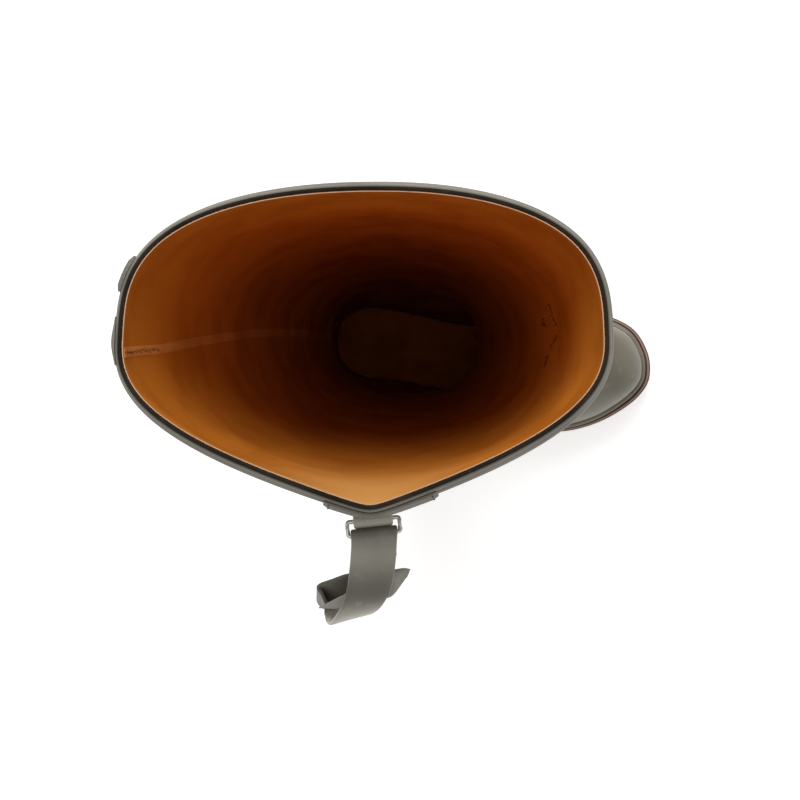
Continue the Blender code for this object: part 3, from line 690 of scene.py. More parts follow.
# Dark, dull rubber on the top and inner side of the band's fold
edgeRubber = rubber("dark_band_top_rubber", "#2b231b", "#1f1913", "#4a4034", 0.85, 0.3, shine=0.12)
# Plain sheet of the sewn patch, a shade darker
patchRubber = rubber("calendered_patch_rubber", "#6f6a5d", "#605b4f", "#857f70", 0.52, 0.2)
# Sheet pressed with crossed lines, which catch the light
tabRubber = rubber("hatched_tab_rubber", "#6f6a5d", "#575246", "#8a8474", 0.55, 0.2, hatchMm=1.5)
# Supple strap sheet, with painted highlights on its top and its fold, and rubbed pale at its end
strapRubber = rubber("calendered_strap_rubber", "#636053", "#565347", "#a09a8a", 0.44, 0.25,
                     "rubbedAndPaintedLight", "#cdc7ba")
# The short strip on the ring, rubbed pale all over
chapeRubber = rubber("calendered_chape_rubber", "#c6c1b2", "#b4af9f", "#d2cdbf", 0.46, 0.2)
# Moulded sole: reddish brown, with a painted highlight on the bead round the welt
soleRubber = rubber("moulded_sole_rubber", "#6f4f46", "#624339", "#8d7065", 0.55, 0.2, "paintedBeadHighlight", "#a3887a")
# Knit lining: dull orange, with painted light on the wall by the strap that fades below the rim, and paler
# along its cut edge
liningMarks = (("wearAndPaintedLight", clothLook["liningPaintedLight"]), ("cutEdge", clothLook["cutEdge"]))
liningCloth = cloth("bonded_knit_lining", clothLook["liningLit"], clothLook["liningDeep"], liningMarks)
tapeCloth = cloth("sewn_seam_tape", "#d8954f", "#c78340")  # woven tape, paler than the lining
insoleCloth = cloth("bonded_insole_cloth", "#cf7c36", "#b86a2a", threadMm=2.0)  # coarser knit on the board
threadCloth = cloth("twisted_sewing_thread", "#dcae80", "#c29362")  # pale loose fibres
darkThread = cloth("twisted_dark_thread", "#5a544a", "#47423a")  # grey stitches, close to the patch
brownThread = cloth("twisted_brown_thread", "#85552c", "#6b411e")  # brown zigzag on the tape
creaseShadeCloth = cloth("painted_crease_shade", "#74400f", "#5c300c")  # painted shade along creases
ringSteel = plated("nickel_plated_wire", "#efede6", "#b5b1a6", 0.34)  # bright wire with dull spots
print("materials made")


# Upper: rubber wall and its cloth lining

upperLook = {
    "rubber": 0.0017,
    "liningOut": 0.00172,
    "liningEdgeDrop": 0.0012,
    "liningEdgeWave": 0.0003,
    "liningEdgeLift": 0.0001,
    # Painted light on the lining: its spread in degrees to each side of the strap, and the depth below the rim
    # over which it fades
    "paintedLightSpan": 26.0,  # degrees to each side of the strap
    "paintedLightDepth": 0.22,
    "capDrop": 0.0031,  # the band folds over the top of the wall, down to here
    "capSlack": 0.0005,
    "liningTopGap": 0.002,  # no plain row of the lining stands nearer to the rim
    "girth": 0.69,
}

topDrop = rimRing[:, 2][None, :] - skin[:, :, 2]
lastRow = int(np.argmax(topDrop.max(axis=1) < upperLook["capDrop"] + upperLook["capSlack"])) - 1
outerRows = list(layer(0.0)[:lastRow]) + [ringBelowRim(upperLook["capDrop"], 0.0)]
innerRows = [ringBelowRim(upperLook["capDrop"], -upperLook["rubber"])]
innerRows += list(layer(-upperLook["rubber"])[:lastRow][::-1])
upperRubber = ringSolid("shaft_and_foot", outerRows + innerRows, upperLook["girth"])
wear(upperRubber, shaftRubber, "upper")

rng = np.random.default_rng(7)
edgeWave = np.convolve(np.tile(rng.normal(0.0, 1.0, around), 3), np.ones(5) / 5, "same")[around:2 * around]
liningRings = [ring for ring in layer(-boot["wall"])[:-2]
               if (rimRing[:, 2] - ring[:, 2]).min() > upperLook["liningTopGap"]]
liningTop = ringBelowRim(upperLook["liningEdgeDrop"], -boot["wall"])
liningEdge = [ringBelowRim(0.0, -boot["wall"]), ringBelowRim(0.0, -upperLook["liningOut"] - 0.0001)]
for ring in liningEdge:
    ring[:, 2] += edgeWave * upperLook["liningEdgeWave"] + upperLook["liningEdgeLift"]
liningBack = [ringBelowRim(upperLook["liningEdgeDrop"], -upperLook["liningOut"])]
liningBack += list(layer(-upperLook["liningOut"])[:len(liningRings)][::-1])
allLining = liningRings + [liningTop] + liningEdge + liningBack
cutEdge = np.zeros((len(allLining), around))
cutEdge[len(liningRings) + 1:len(liningRings) + 3] = 1.0
liningDrop = rimRing[:, 2][None, :] - np.array(allLining)[:, :, 2]
# Painted light: the lining's wall by the strap is coloured paler near the rim, as if lit
fromStrap = (np.arange(around) - quarter) * 360.0 / around
paintedLightRound = np.exp(-(fromStrap / upperLook["paintedLightSpan"]) ** 2)[None, :]
wearAndPaintedLight = paintedLightRound * (1.0 - ease(liningDrop / upperLook["paintedLightDepth"]))
lining = ringSolid("lining", allLining, upperLook["girth"], values={"cutEdge": cutEdge, "wearAndPaintedLight": wearAndPaintedLight})
wear(lining, liningCloth, None)
print("upper and lining made")


# Band folded over the rim, with two ridges outside

bandProfile = (
    # drop, out
    (0.0030, -0.00168), (0.0002, -0.00168), (-0.0003, -0.0014), (-0.0005, -0.0004), (-0.0004, 0.0005),
    (0.0001, 0.0011), (0.0010, 0.0017), (0.0022, 0.0023), (0.0034, 0.0024), (0.0048, 0.0020),
    (0.0060, 0.0017), (0.0072, 0.0020), (0.0090, 0.0032), (0.0108, 0.0040), (0.0128, 0.0042),
    (0.0160, 0.0041), (0.0196, 0.0038), (0.0212, 0.0032), (0.0219, 0.0022), (0.0220, 0.0006),
    (0.0200, 0.0003), (0.0100, 0.0003), (0.0030, 0.0003),
)
bandRings = [ringBelowRim(drop, out) for drop, out in bandProfile]
# Darkening for each row of the profile: dark along the top, painted shade in the dip between the ridges and on
# the underside of the band
bandDarkTopAndPaintedShade = (1, 1, 1, 1, 0.8, 0.2, 0.05, 0, 0, 0.45, 0.65, 0.45, 0.05, 0, 0, 0.1, 0.3, 0.6, 0.7, 0.7, 0.7,
            0.7, 1)  # one for each row of the profile
darkTopAndPaintedShade = np.tile(np.array(bandDarkTopAndPaintedShade, dtype=float)[:, None], (1, around))
topBand = ringSolid("top_band_folded", bandRings, 0.70, sharpAngle=75, values={"darkTopAndPaintedShade": darkTopAndPaintedShade})
wear(topBand, bandRubber, "top_band")
topBand.data.materials.append(edgeRubber)
bandFaceRows = np.arange(len(topBand.data.polygons)) // around
onEdge = (bandFaceRows < 4) | (bandFaceRows >= len(bandProfile) - 1)
topBand.data.polygons.foreach_set("material_index", onEdge.astype(np.int32))


bandEnd = {"from": 0.0216, "over": 0.004}


# How far out the band's face stands at one drop below the rim, with rows 5 to 18 of its profile as its face
def bandReach(drop):
    reach = np.interp(drop, *zip(*bandProfile[5:19]))
    return blend(reach, 0.0, ease((drop - bandEnd["from"]) / bandEnd["over"]))


layerLook = {"columnWidth": 0.0031, "sideThin": 0.55, "sideFade": 0.0009, "endThin": 0.25, "endFade": 0.0014}


# A layer that lies on the wall and climbs over the band, with thin rounded edges
def layeredPlate(name, firstDrop, lastDrop, columns, thickness, step=0.0022):
    count = max(2, int(round((firstDrop - lastDrop) / step)))
    drops = np.linspace(firstDrop, lastDrop, count + 1)
    columns = np.array(columns)
    width = columns[-1] - columns[0]
    outer = []
    inner = []
    for i, drop in enumerate(drops):
        base = bandReach(drop) + boot["gap"]
        share = (columns - columns[0]) / width
        edge = np.minimum(share, 1 - share) * width * layerLook["columnWidth"]
        ends = min(i, count - i) * step
        swell = (1.0 - layerLook["sideThin"] * np.exp(-edge / layerLook["sideFade"])
                 - layerLook["endThin"] * np.exp(-ends / layerLook["endFade"]))
        whole = [ringBelowRim(drop, base + t) for t in (0.0, thickness)]
        low = whole[0][columns % around]
        high = whole[1][columns % around]
        inner.append(low)
        outer.append(low + (high - low) * swell[:, None])
    return plateSolid(name, outer, inner, sharpAngle=60)


stayLook = {
    "thickness": 0.0016,
    "halfWidth": 4,  # in columns
    "edgeShare": 0.25,
    "liftShare": 0.6,
    "wallTo": 0.027,  # drop where the strip leaves the wall
    "bandFrom": 0.0250,
    "topDrop": 0.0025,
    "bandSteps": 12,
}
patchLook = {
    "thickness": 0.0019,
    "bottomDrop": 0.075,
    "topDrop": 0.0031,
    "stitchLength": 0.0026,
    "stitchGap": 0.0011,
    "stitchInset": 0.0026,
    "stitchWidth": 0.0007,
    "stitchHeight": 0.0005,
    "stitchLift": 0.0001,
    "sideRun": (0.072, 0.006),  # drops between which the side rows run
    "topRow": 0.0255,
    "normalRow": -10,  # the skin's row whose normals the stitches stand on
}
tabLook = {"columns": (-14, -8), "thickness": 0.0021, "bottomDrop": 0.0340, "topDrop": 0.0031, "step": 0.0016}

stayBottom = cadRowAt[len(footRows) - 1]
stayColumns = np.arange(-stayLook["halfWidth"], stayLook["halfWidth"] + 1)
stayRows = [i for i in range(stayBottom, len(skin)) if rimRing[0, 2] - skin[i, 0, 2] > stayLook["wallTo"]]
share = np.abs(stayColumns) / stayLook["halfWidth"]
rise = stayLook["edgeShare"] + (1.0 - stayLook["edgeShare"]) * np.cos(share * pi / 2) ** 2
stayLift = boot["gap"] * stayLook["liftShare"]
stayInner = [skin[i][stayColumns] + skinNormals[i][stayColumns] * stayLift for i in stayRows]
stayOuter = [low + skinNormals[i][stayColumns] * (stayLook["thickness"] * rise)[:, None]
             for i, low in zip(stayRows, stayInner)]
for drop in np.linspace(stayLook["bandFrom"], stayLook["topDrop"], stayLook["bandSteps"]):
    base = bandReach(drop) + boot["gap"]
    low = ringBelowRim(drop, base)[stayColumns]
    high = ringBelowRim(drop, base + stayLook["thickness"])[stayColumns]
    stayInner.append(low)
    stayOuter.append(low + (high - low) * rise[:, None])
backStay = plateSolid("back_stay_strip", stayOuter, stayInner, sharpAngle=60)
wear(backStay, bandRubber, "back_stay")

patchColumns = np.arange((quarter // cadStep - 2) * cadStep, (quarter // cadStep + 3) * cadStep + 1)
strapPatch = layeredPlate("strap_patch_sewn", patchLook["bottomDrop"], patchLook["topDrop"], patchColumns,
                          patchLook["thickness"])
wear(strapPatch, patchRubber, "strap_patch")

firstColumn, lastColumn = tabLook["columns"]
rimTab = layeredPlate("rim_tab_textured", tabLook["bottomDrop"], tabLook["topDrop"],
                      np.arange(firstColumn, lastColumn + 1), tabLook["thickness"], tabLook["step"])
wear(rimTab, tabRubber, "rim_tab")
print("band, stay, patch and tab made")


# Foxing strip round the foot, with a small lip at its top

foxingLook = {
    "height": 0.014,
    "thickness": 0.0022,
    "grooves": (0.28, 0.44),
    "grooveDepth": 0.0006,
    "grooveSpread": 0.035,
    "lip": 0.0010,
    "lipAt": 0.86,
    "lipSpread": 0.08,
    "roundFrom": 0.93,
    "roundShares": (1.25, 0.55),  # the lip's rounded top, as shares of the thickness
    "rows": 25,
}


def foxingRing(share, thickness):
    low = skin[0]
    high = skin[cadRowAt[2]]
    along = foxingLook["height"] * share
    here = low + (high - low) * (along / (high[:, 2] - low[:, 2]))[:, None]
    plan = here + skinNormals[0] * (boot["gap"] + thickness)
    bed = bedHeight(heelY - plan[:, 1])
    return np.column_stack([plan[:, :2], bed + boot["gap"] * 2 + along])


foxingRings = []
for share in np.linspace(0.0, 1.0, foxingLook["rows"]):
    swell = foxingLook["thickness"]
    for groove in foxingLook["grooves"]:
        swell -= foxingLook["grooveDepth"] * np.exp(-((share - groove) / foxingLook["grooveSpread"]) ** 2)
    swell += foxingLook["lip"] * np.exp(-((share - foxingLook["lipAt"]) / foxingLook["lipSpread"]) ** 2)
    if share > foxingLook["roundFrom"]:
        part = (share - foxingLook["roundFrom"]) / (1.0 - foxingLook["roundFrom"])
        swell = foxingLook["thickness"] * blend(*foxingLook["roundShares"], part)
    foxingRings.append(foxingRing(share, swell))
for share in (1.0, 0.5, 0.0):
    foxingRings.append(foxingRing(share, 0.0))
foxing = ringSolid("foxing_strip", foxingRings, 0.66, sharpAngle=45)
wear(foxing, foxingRubber, "foxing")


# Insole: cloth over a thin board

insoleLook = {
    "gapIn": boot["wall"] + boot["gap"] * 2,
    # inset, height above the bed
    "profile": ((0.012, 0.0), (0.0, 0.0), (0.0, 0.0028), (0.0006, 0.0036), (0.0018, 0.0040), (0.006, 0.0041),
                (0.014, 0.0040)),
}
insoleRings = []
for inset, lift in insoleLook["profile"]:
    plan = outlineRing(upperInset, insoleLook["gapIn"] + inset)
    insoleRings.append(toWorld(np.column_stack([plan, bedHeight(plan[:, 0]) + boot["gap"] * 2 + lift])))
insole = ringSolid("insole_cloth", insoleRings, 0.62, flatEnd(around))
wear(insole, insoleCloth, "insole")
print("foxing and insole made")


# Outsole: stepped side, welt bead and groove, lugs underneath

soleProfile = (
    # inset, where the height is measured, height in metres or share of the lower side, painted highlight on
    # the bead
    (0.0140, "root", 0.0, 0), (0.0024, "root", 0.0, 0), (0.0010, "root", 0.0003, 0),
    (0.0002, "root", 0.0010, 0), (0.0000, "side", 0.0, 0), (0.0000, "side", 0.30, 0),
    (0.0006, "side", 0.38, 0), (0.0006, "side", 0.50, 0), (0.0000, "side", 0.58, 0),
    (0.0000, "side", 0.90, 0), (0.0004, "side", 1.0, 0), (0.0014, "bed", -0.0058, 0),
    (0.0016, "bed", -0.0052, 0), (0.0016, "bed", -0.0012, 0), (0.0018, "bed", -0.0004, 0.4),
    (0.0024, "bed", 0.0, 1), (0.0031, "bed", 0.0, 1), (0.0036, "bed", -0.0004, 0.5),
    (0.0038, "bed", -0.0014, 0), (0.0040, "bed", -0.0021, 0), (0.0060, "bed", -0.0022, 0),
    (0.0063, "bed", -0.0016, 0), (0.0065, "bed", 0.0, 0), (0.0140, "bed", 0.0, 0),
)
soleRings = []
paintedBeadHighlightRows = []
for inset, measure, amount, bead in soleProfile:
    ring = outlineRing(inset)
    root = floorGap(ring[:, 0]) + boot["lugDepth"]
    bed = bedHeight(ring[:, 0])
    levels = {"root": root + amount, "side": blend(root + 0.0022, bed - 0.0064, amount), "bed": bed + amount}
    soleRings.append(toWorld(np.column_stack([ring, levels[measure]])))
    paintedBeadHighlightRows.append(np.full(around, float(bead)))
outsole = ringSolid("outsole_moulded", soleRings, 0.70, flatEnd(around), 35, {"paintedBeadHighlight": paintedBeadHighlightRows})

lugLook = {
    "cut": 0.035,  # half a cut, as a share of the width
    "sideInset": 0.0022,
    "footGrow": -0.0010,  # a lug narrows toward the floor
    "rootGrow": 0.0008,
    "rootDip": 0.0015,
    "bevel": 0.0007,
}
lugRows = (
    # start and end along the foot, lean of the bar, cuts across the width
    (0.030, 0.075, 0.00, (0.10, 0.90)), (0.105, 0.150, 0.00, (0.02, 0.34, 0.66, 0.98)),
    (0.180, 0.245, 0.00, (0.02, 0.47, 0.98)), (0.500, 0.545, 0.02, (0.03, 0.47, 0.97)),
    (0.575, 0.620, 0.02, (0.02, 0.33, 0.64, 0.98)), (0.650, 0.695, 0.02, (0.02, 0.49, 0.98)),
    (0.725, 0.770, 0.02, (0.02, 0.33, 0.64, 0.98)), (0.800, 0.845, 0.02, (0.03, 0.49, 0.97)),
    (0.875, 0.915, 0.01, (0.05, 0.49, 0.95)),
)
sideRing = outlineRing(lugLook["sideInset"])
strapSide = sideRing[:around // 2 + 1]
toeSide = np.concatenate([sideRing[around // 2:], sideRing[:1]])[::-1]
lugMesh = bmesh.new()
for start, end, lean, cuts in lugRows:
    for left, right in zip(cuts[:-1], cuts[1:]):
        spots = []
        near = left + lugLook["cut"]
        far = right - lugLook["cut"]
        for part, side in ((start, near), (start, far), (end, far), (end, near)):
            ahead = (part + lean * (1.0 - abs(side - 0.5) * 2.0)) * boot["soleLength"]
            strapEdge = np.interp(ahead, strapSide[:, 0], strapSide[:, 1])
            toeEdge = np.interp(ahead, toeSide[:, 0], toeSide[:, 1])
            spots.append(np.array((ahead, blend(strapEdge, toeEdge, side))))
        centre = np.mean(spots, axis=0)
        loops = []
        rootHeight = boot["lugDepth"] + lugLook["rootDip"]
        for grow, above in ((lugLook["footGrow"], 0.0), (lugLook["rootGrow"], rootHeight)):
            loop = []
            for spot in spots:
                away = (spot - centre) / np.linalg.norm(spot - centre) * grow
                place = spot + away
                loop.append(lugMesh.verts.new(toWorld((*place, floorGap(place[0]) + above))))
            loops.append(loop)
        low, high = loops
        made = [lugMesh.faces.new(low[::-1]), lugMesh.faces.new(high)]
        for i in range(4):
            j = (i + 1) % 4
            made.append(lugMesh.faces.new((low[i], low[j], high[j], high[i])))
        bmesh.ops.recalc_face_normals(lugMesh, faces=made)
bmesh.ops.bevel(lugMesh, geom=[e for e in lugMesh.edges], offset=lugLook["bevel"], segments=2, profile=0.6,
                affect="EDGES")
lugData = bpy.data.meshes.new("lugs")
lugMesh.to_mesh(lugData)
lugMesh.free()
soleMesh = bmesh.new()
soleMesh.from_mesh(outsole.data)
soleMesh.from_mesh(lugData)
soleMesh.to_mesh(outsole.data)
soleMesh.free()
bpy.data.meshes.remove(lugData)
wear(outsole, soleRubber, "outsole")
print("outsole made:", len(outsole.data.polygons), "faces")


# Strap parts hang from the patch. Their places are (out, back, down) from the ring's outer bar.

strapLook = {
    "width": 0.0250,
    "thickness": 0.0022,
    "reach": 0.050,
    "belowBand": 0.014,
    "ahead": 0.0024,
    "wire": 0.0012,
    "corner": 0.0015,
    "ringWidth": 0.0305,
    "ringReach": 0.0076,
    "ringSlope": 0.0018,
    "ringYaw": radians(11.2),
    "chapeWidth": 0.0210,
    "chapeThickness": 0.0019,
    "chapeStand": 0.0028,
    "chapeLean": 0.0062,
    "chapePlump": 0.0007,  # a little fuller than the solid, so that it meets the strap
    "chapeTail": 0.026,
    "patchThickness": 0.0018,
}


# The ring's outer bar is placed from the plain sections, before any fold is put in
plainTop = toWorld(np.array(shaftRings()[-1]))[quarter]
plainWall = toWorld(np.array(shaftRings()[-1 - len(bandRows)]))[quarter]
barReach = (boot["gap"] * 5 + strapLook["patchThickness"] + strapLook["chapeThickness"]
            + strapLook["chapeStand"] + strapLook["wire"] + strapLook["ringReach"])
barX = plainWall[0] - barReach
barY = plainTop[1] - strapLook["ahead"]
barZ = plainTop[2] - boot["bandHeight"] - strapLook["belowBand"]


def strapPlace(points):
    points = np.asarray(points, dtype=float)
    return np.stack([barX - points[..., 0], barY + points[..., 1], barZ - points[..., 2]], axis=-1)


# The same, turned about the upright line through the outer bar's middle
def ringPlace(points):
    points = np.asarray(points, dtype=float)
    yaw = strapLook["ringYaw"]
    out = points[..., 0] * cos(yaw) + points[..., 1] * sin(yaw)
    back = points[..., 1] * cos(yaw) - points[..., 0] * sin(yaw)
    return strapPlace(np.stack([out, back, points[..., 2]], axis=-1))


def ringLift(out):
    return -strapLook["ringSlope"] * out / strapLook["ringReach"]


# A round wire along a closed path in the ring's own terms
def tubeAlong(name, path, radius, sides):
    path = np.array(path)
    count = len(path)
    rings = []
    for i in range(count):
        before = path[(i - 1) % count]
        after = path[(i + 1) % count]
        along = (after - before) / np.linalg.norm(after - before)
        across = np.cross(along, (0.0, 0.0, 1.0))
        across /= np.linalg.norm(across)
        other = np.cross(along, across)
        turn = np.arange(sides) * 2 * pi / sides
        rings.append(path[i] + radius * (np.cos(turn)[:, None] * across + np.sin(turn)[:, None] * other))
    return ringSolid(name, [ringPlace(ring) for ring in rings], 2 * pi * radius)


halfRing = strapLook["ringWidth"] / 2 - strapLook["wire"]
corner = strapLook["corner"]
reach = strapLook["ringReach"]
wirePath = []
for out, back, start in ((-corner, halfRing - corner, 0), (-reach + corner, halfRing - corner, 90),
                         (-reach + corner, -halfRing + corner, 180), (-corner, -halfRing + corner, 270)):
    for step in range(9):
        angle = radians(start + 11.25 * step)
        x = out + corner * cos(angle)
        wirePath.append((x, back + corner * sin(angle), ringLift(x)))
strapRing = tubeAlong("strap_ring_wire", wirePath, strapLook["wire"], 20)
wear(strapRing, ringSteel, "strap_ring")


sweepSteps = 10  # steps across a flat side of a swept band


# A band of rubber swept along stations, with rounded edges. A station is middle, across and half width.
def sweptBand(middle, across, halves, thickness, place, waves=None):
    along = np.gradient(middle, axis=0)
    along /= np.linalg.norm(along, axis=1)[:, None]
    rings = []
    for i in range(len(middle)):
        side = across[i] / np.linalg.norm(across[i])
        face = np.cross(along[i], side)
        face /= np.linalg.norm(face)
        half = halves[i]
        rounding = min(thickness / 2, half * 0.8)
        ring = []
        for k in range(sweepSteps + 1):
            ring.append((blend(-half + rounding, half - rounding, k / sweepSteps), thickness / 2))
        for k in (1, 2, 3):
            angle = pi / 2 - pi * k / 4
            ring.append((half - rounding + rounding * cos(angle), thickness / 2 * sin(angle)))
        for k in range(sweepSteps + 1):
            ring.append((blend(half - rounding, -half + rounding, k / sweepSteps), -thickness / 2))
        for k in (1, 2, 3):
            angle = -pi / 2 - pi * k / 4
            ring.append((-half + rounding + rounding * cos(angle), thickness / 2 * sin(angle)))
        ring = np.array(ring)
        push = 0.0 if waves is None else waves(i / (len(middle) - 1), ring[:, 0] / max(half, 1e-6))
        rings.append(place(middle[i] + side * ring[:, :1] + face * (ring[:, 1] + push)[:, None]))
    return rings


# The swept rings joined in turn, with their two ends closed
def bandSolid(name, rings, girth, values=None):
    return ringSolid(name, rings, girth, bandEnds(sweepSteps), 45, values)


# The strap hooks round the ring, runs out, folds under, turns back as a loop and ends in a point
underRows = ((0.260, -0.030, 0.024), (0.100, -0.012, 0.012))  # shares of reach: out, back, down past the hook
strapRows = (
    # out, back, down as shares of reach, direction of the width, width share
    (0.086, -0.006, -0.058, 0.18, 0.98, 0.00, 0.98), (0.228, -0.010, -0.038, 0.17, 0.99, 0.00, 0.98),
    (0.368, -0.008, -0.002, 0.16, 0.99, 0.00, 0.98), (0.506, 0.000, 0.060, 0.15, 0.99, 0.00, 0.97),
    (0.644, 0.020, 0.148, 0.16, 0.99, 0.00, 0.96), (0.778, 0.064, 0.256, 0.20, 0.98, 0.00, 0.95),
    (0.898, 0.124, 0.384, 0.26, 0.96, -0.02, 0.95), (0.984, 0.192, 0.516, 0.34, 0.94, -0.06, 0.94),
    (0.988, 0.250, 0.624, 0.34, 0.92, -0.20, 0.89), (0.950, 0.350, 0.700, 0.17, 0.73, -0.66, 0.73),
    (0.924, 0.446, 0.720, -0.29, 0.15, -0.95, 0.80), (0.840, 0.534, 0.700, -0.39, -0.06, -0.92, 0.95),
    (0.760, 0.574, 0.664, -0.39, -0.02, -0.92, 0.97), (0.746, 0.512, 0.632, -0.49, 0.12, -0.87, 0.99),
    (0.734, 0.378, 0.578, -0.62, 0.19, -0.76, 1.06), (0.674, 0.214, 0.518, -0.71, 0.17, -0.69, 1.04),
    (0.598, -0.012, 0.456, -0.75, 0.09, -0.65, 0.88), (0.558, -0.218, 0.420, -0.76, 0.00, -0.65, 0.85),
    (0.474, -0.330, 0.362, -0.73, -0.10, -0.68, 0.58), (0.412, -0.400, 0.292, -0.69, -0.19, -0.69, 0.22),
)


# Stations of the strap: under the bar, half round it, then out along strapRows
def strapRoute():
    hook = strapLook["wire"] + boot["gap"] + strapLook["thickness"] / 2
    reach = strapLook["reach"]
    yaw = strapLook["ringYaw"]
    bar = (sin(yaw), cos(yaw), 0.0, 1.0)
    hidden = bar[:3] + (0.92,)
    rows = [(out * reach, back * reach, hook + down * reach) + hidden for out, back, down in underRows]
    for step in range(5):
        away = hook * sin(radians(45 * step))
        rows.append((-away * cos(yaw), away * sin(yaw), hook * cos(radians(45 * step))) + bar)
    return rows + [(out * reach, back * reach, down * reach, *width) for out, back, down, *width in strapRows]


def alongRoute(route, steps):
    rows = np.array(route, dtype=float)
    last = len(rows) - 1
    line = []
    for i in range(last):
        four = [rows[min(max(i + k, 0), last)] for k in (-1, 0, 1, 2)]
        line += [throughPoints(*four, k / steps) for k in range(steps)]
    line.append(rows[-1])
    return np.array(line)


waveLook = {
    "cross": {"depth": 0.00022, "turns": 95.0, "at": 0.30, "over": 0.10},
    "long": {"depth": 0.00025, "turns": 3.0, "at": 0.38, "over": 0.12},
}


# Faint bends across the strap, where it was folded flat in its pack, and a faint dish along it
def strapWaves(share, side):
    cross = waveLook["cross"]
    long = waveLook["long"]
    crossFade = np.exp(-((share - cross["at"]) / cross["over"]) ** 2)
    longFade = np.exp(-((share - long["at"]) / long["over"]) ** 2)
    push = cross["depth"] * sin(share * cross["turns"]) * crossFade
    return push + long["depth"] * np.cos(side * long["turns"]) * longFade


line = alongRoute(strapRoute(), 8)
strapRings = sweptBand(line[:, :3], line[:, 3:6], strapLook["width"] / 2 * line[:, 6],
                       strapLook["thickness"], strapPlace, strapWaves)
station = np.arange(len(line)) / 8.0
# How pale the strap is painted: painted light on its top and fold, rubbed wear on its flap. The share, the
# station, and over how many stations it fades
rubAndPaintedLightLook = {"top": (0.36, 7.5, 2.0), "fold": (1.0, 14.2, 1.7), "flap": (0.38, 22.5, 2.0)}
amount, at, over = rubAndPaintedLightLook["flap"]
rubbedAndPaintedLight = amount * ease((station - at) / over)
for key in ("top", "fold"):
    amount, at, over = rubAndPaintedLightLook[key]
    rubbedAndPaintedLight += amount * np.exp(-((station - at) / over) ** 2)
rubbedAndPaintedLightRings = np.repeat(rubbedAndPaintedLight[:, None], np.array(strapRings).shape[1], axis=1)
hangerStrap = bandSolid("hanger_strap_rubber", strapRings, 0.052, {"rubbedAndPaintedLight": rubbedAndPaintedLightRings})
wear(hangerStrap, strapRubber, "hanger_strap")

# A frayed point of the strap's cut end, which stands inside the loop
pointLook = {
    "base": (0.0400, 0.0118, 0.0218),
    "tip": (0.0447, 0.0272, 0.0214),
    "halfBase": 0.0047,
    "halfTip": 0.0003,
    "thickness": 0.0014,
    "fray": 0.00018,
}
share = np.linspace(0.0, 1.0, 25)
pointLine = blend(np.array(pointLook["base"]), np.array(pointLook["tip"]), share[:, None])
pointAlong = pointLine[-1] - pointLine[0]
acrossPoint = np.tile((-pointAlong[1], pointAlong[0], 0.0), (len(share), 1))
pointHalves = blend(pointLook["halfBase"], pointLook["halfTip"], share)
pointHalves += pointLook["fray"] * np.sin(share * 47.0) * (1.0 - share)
pointRings = sweptBand(pointLine, acrossPoint, pointHalves, pointLook["thickness"], strapPlace)
pointRubbed = np.full(np.array(pointRings).shape[:2], 0.35)
frayedPoint = bandSolid("strap_frayed_point", pointRings, 0.012, {"rubbedAndPaintedLight": pointRubbed})
wear(frayedPoint, strapRubber, None)

barOut = -strapLook["ringReach"]
barDown = ringLift(barOut)
foldRadius = strapLook["wire"] + boot["gap"] + (strapLook["chapeThickness"] + strapLook["chapePlump"]) / 2
chapeRoute = []
for part in (1.0, 0.66, 0.33):
    chapeRoute.append((barOut - foldRadius - strapLook["chapeLean"] * part, 0.0,
                       barDown + strapLook["chapeTail"] * part))
for step in range(11):
    angle = pi - radians(23.5 * step)
    chapeRoute.append((barOut + foldRadius * cos(angle), 0.0, barDown - foldRadius * sin(angle)))
chapeLine = alongRoute(chapeRoute, 3)
acrossChape = np.tile((0.0, 1.0, 0.0), (len(chapeLine), 1))
chapeRings = sweptBand(chapeLine, acrossChape, np.full(len(chapeLine), strapLook["chapeWidth"] / 2),
                       strapLook["chapeThickness"] + strapLook["chapePlump"], ringPlace)
chape = bandSolid("chape_fold", chapeRings, 0.046)
wear(chape, chapeRubber, "chape")
print("ring, chape and strap made")


# Stitches and fibres: one node tree puts a small thread on each point

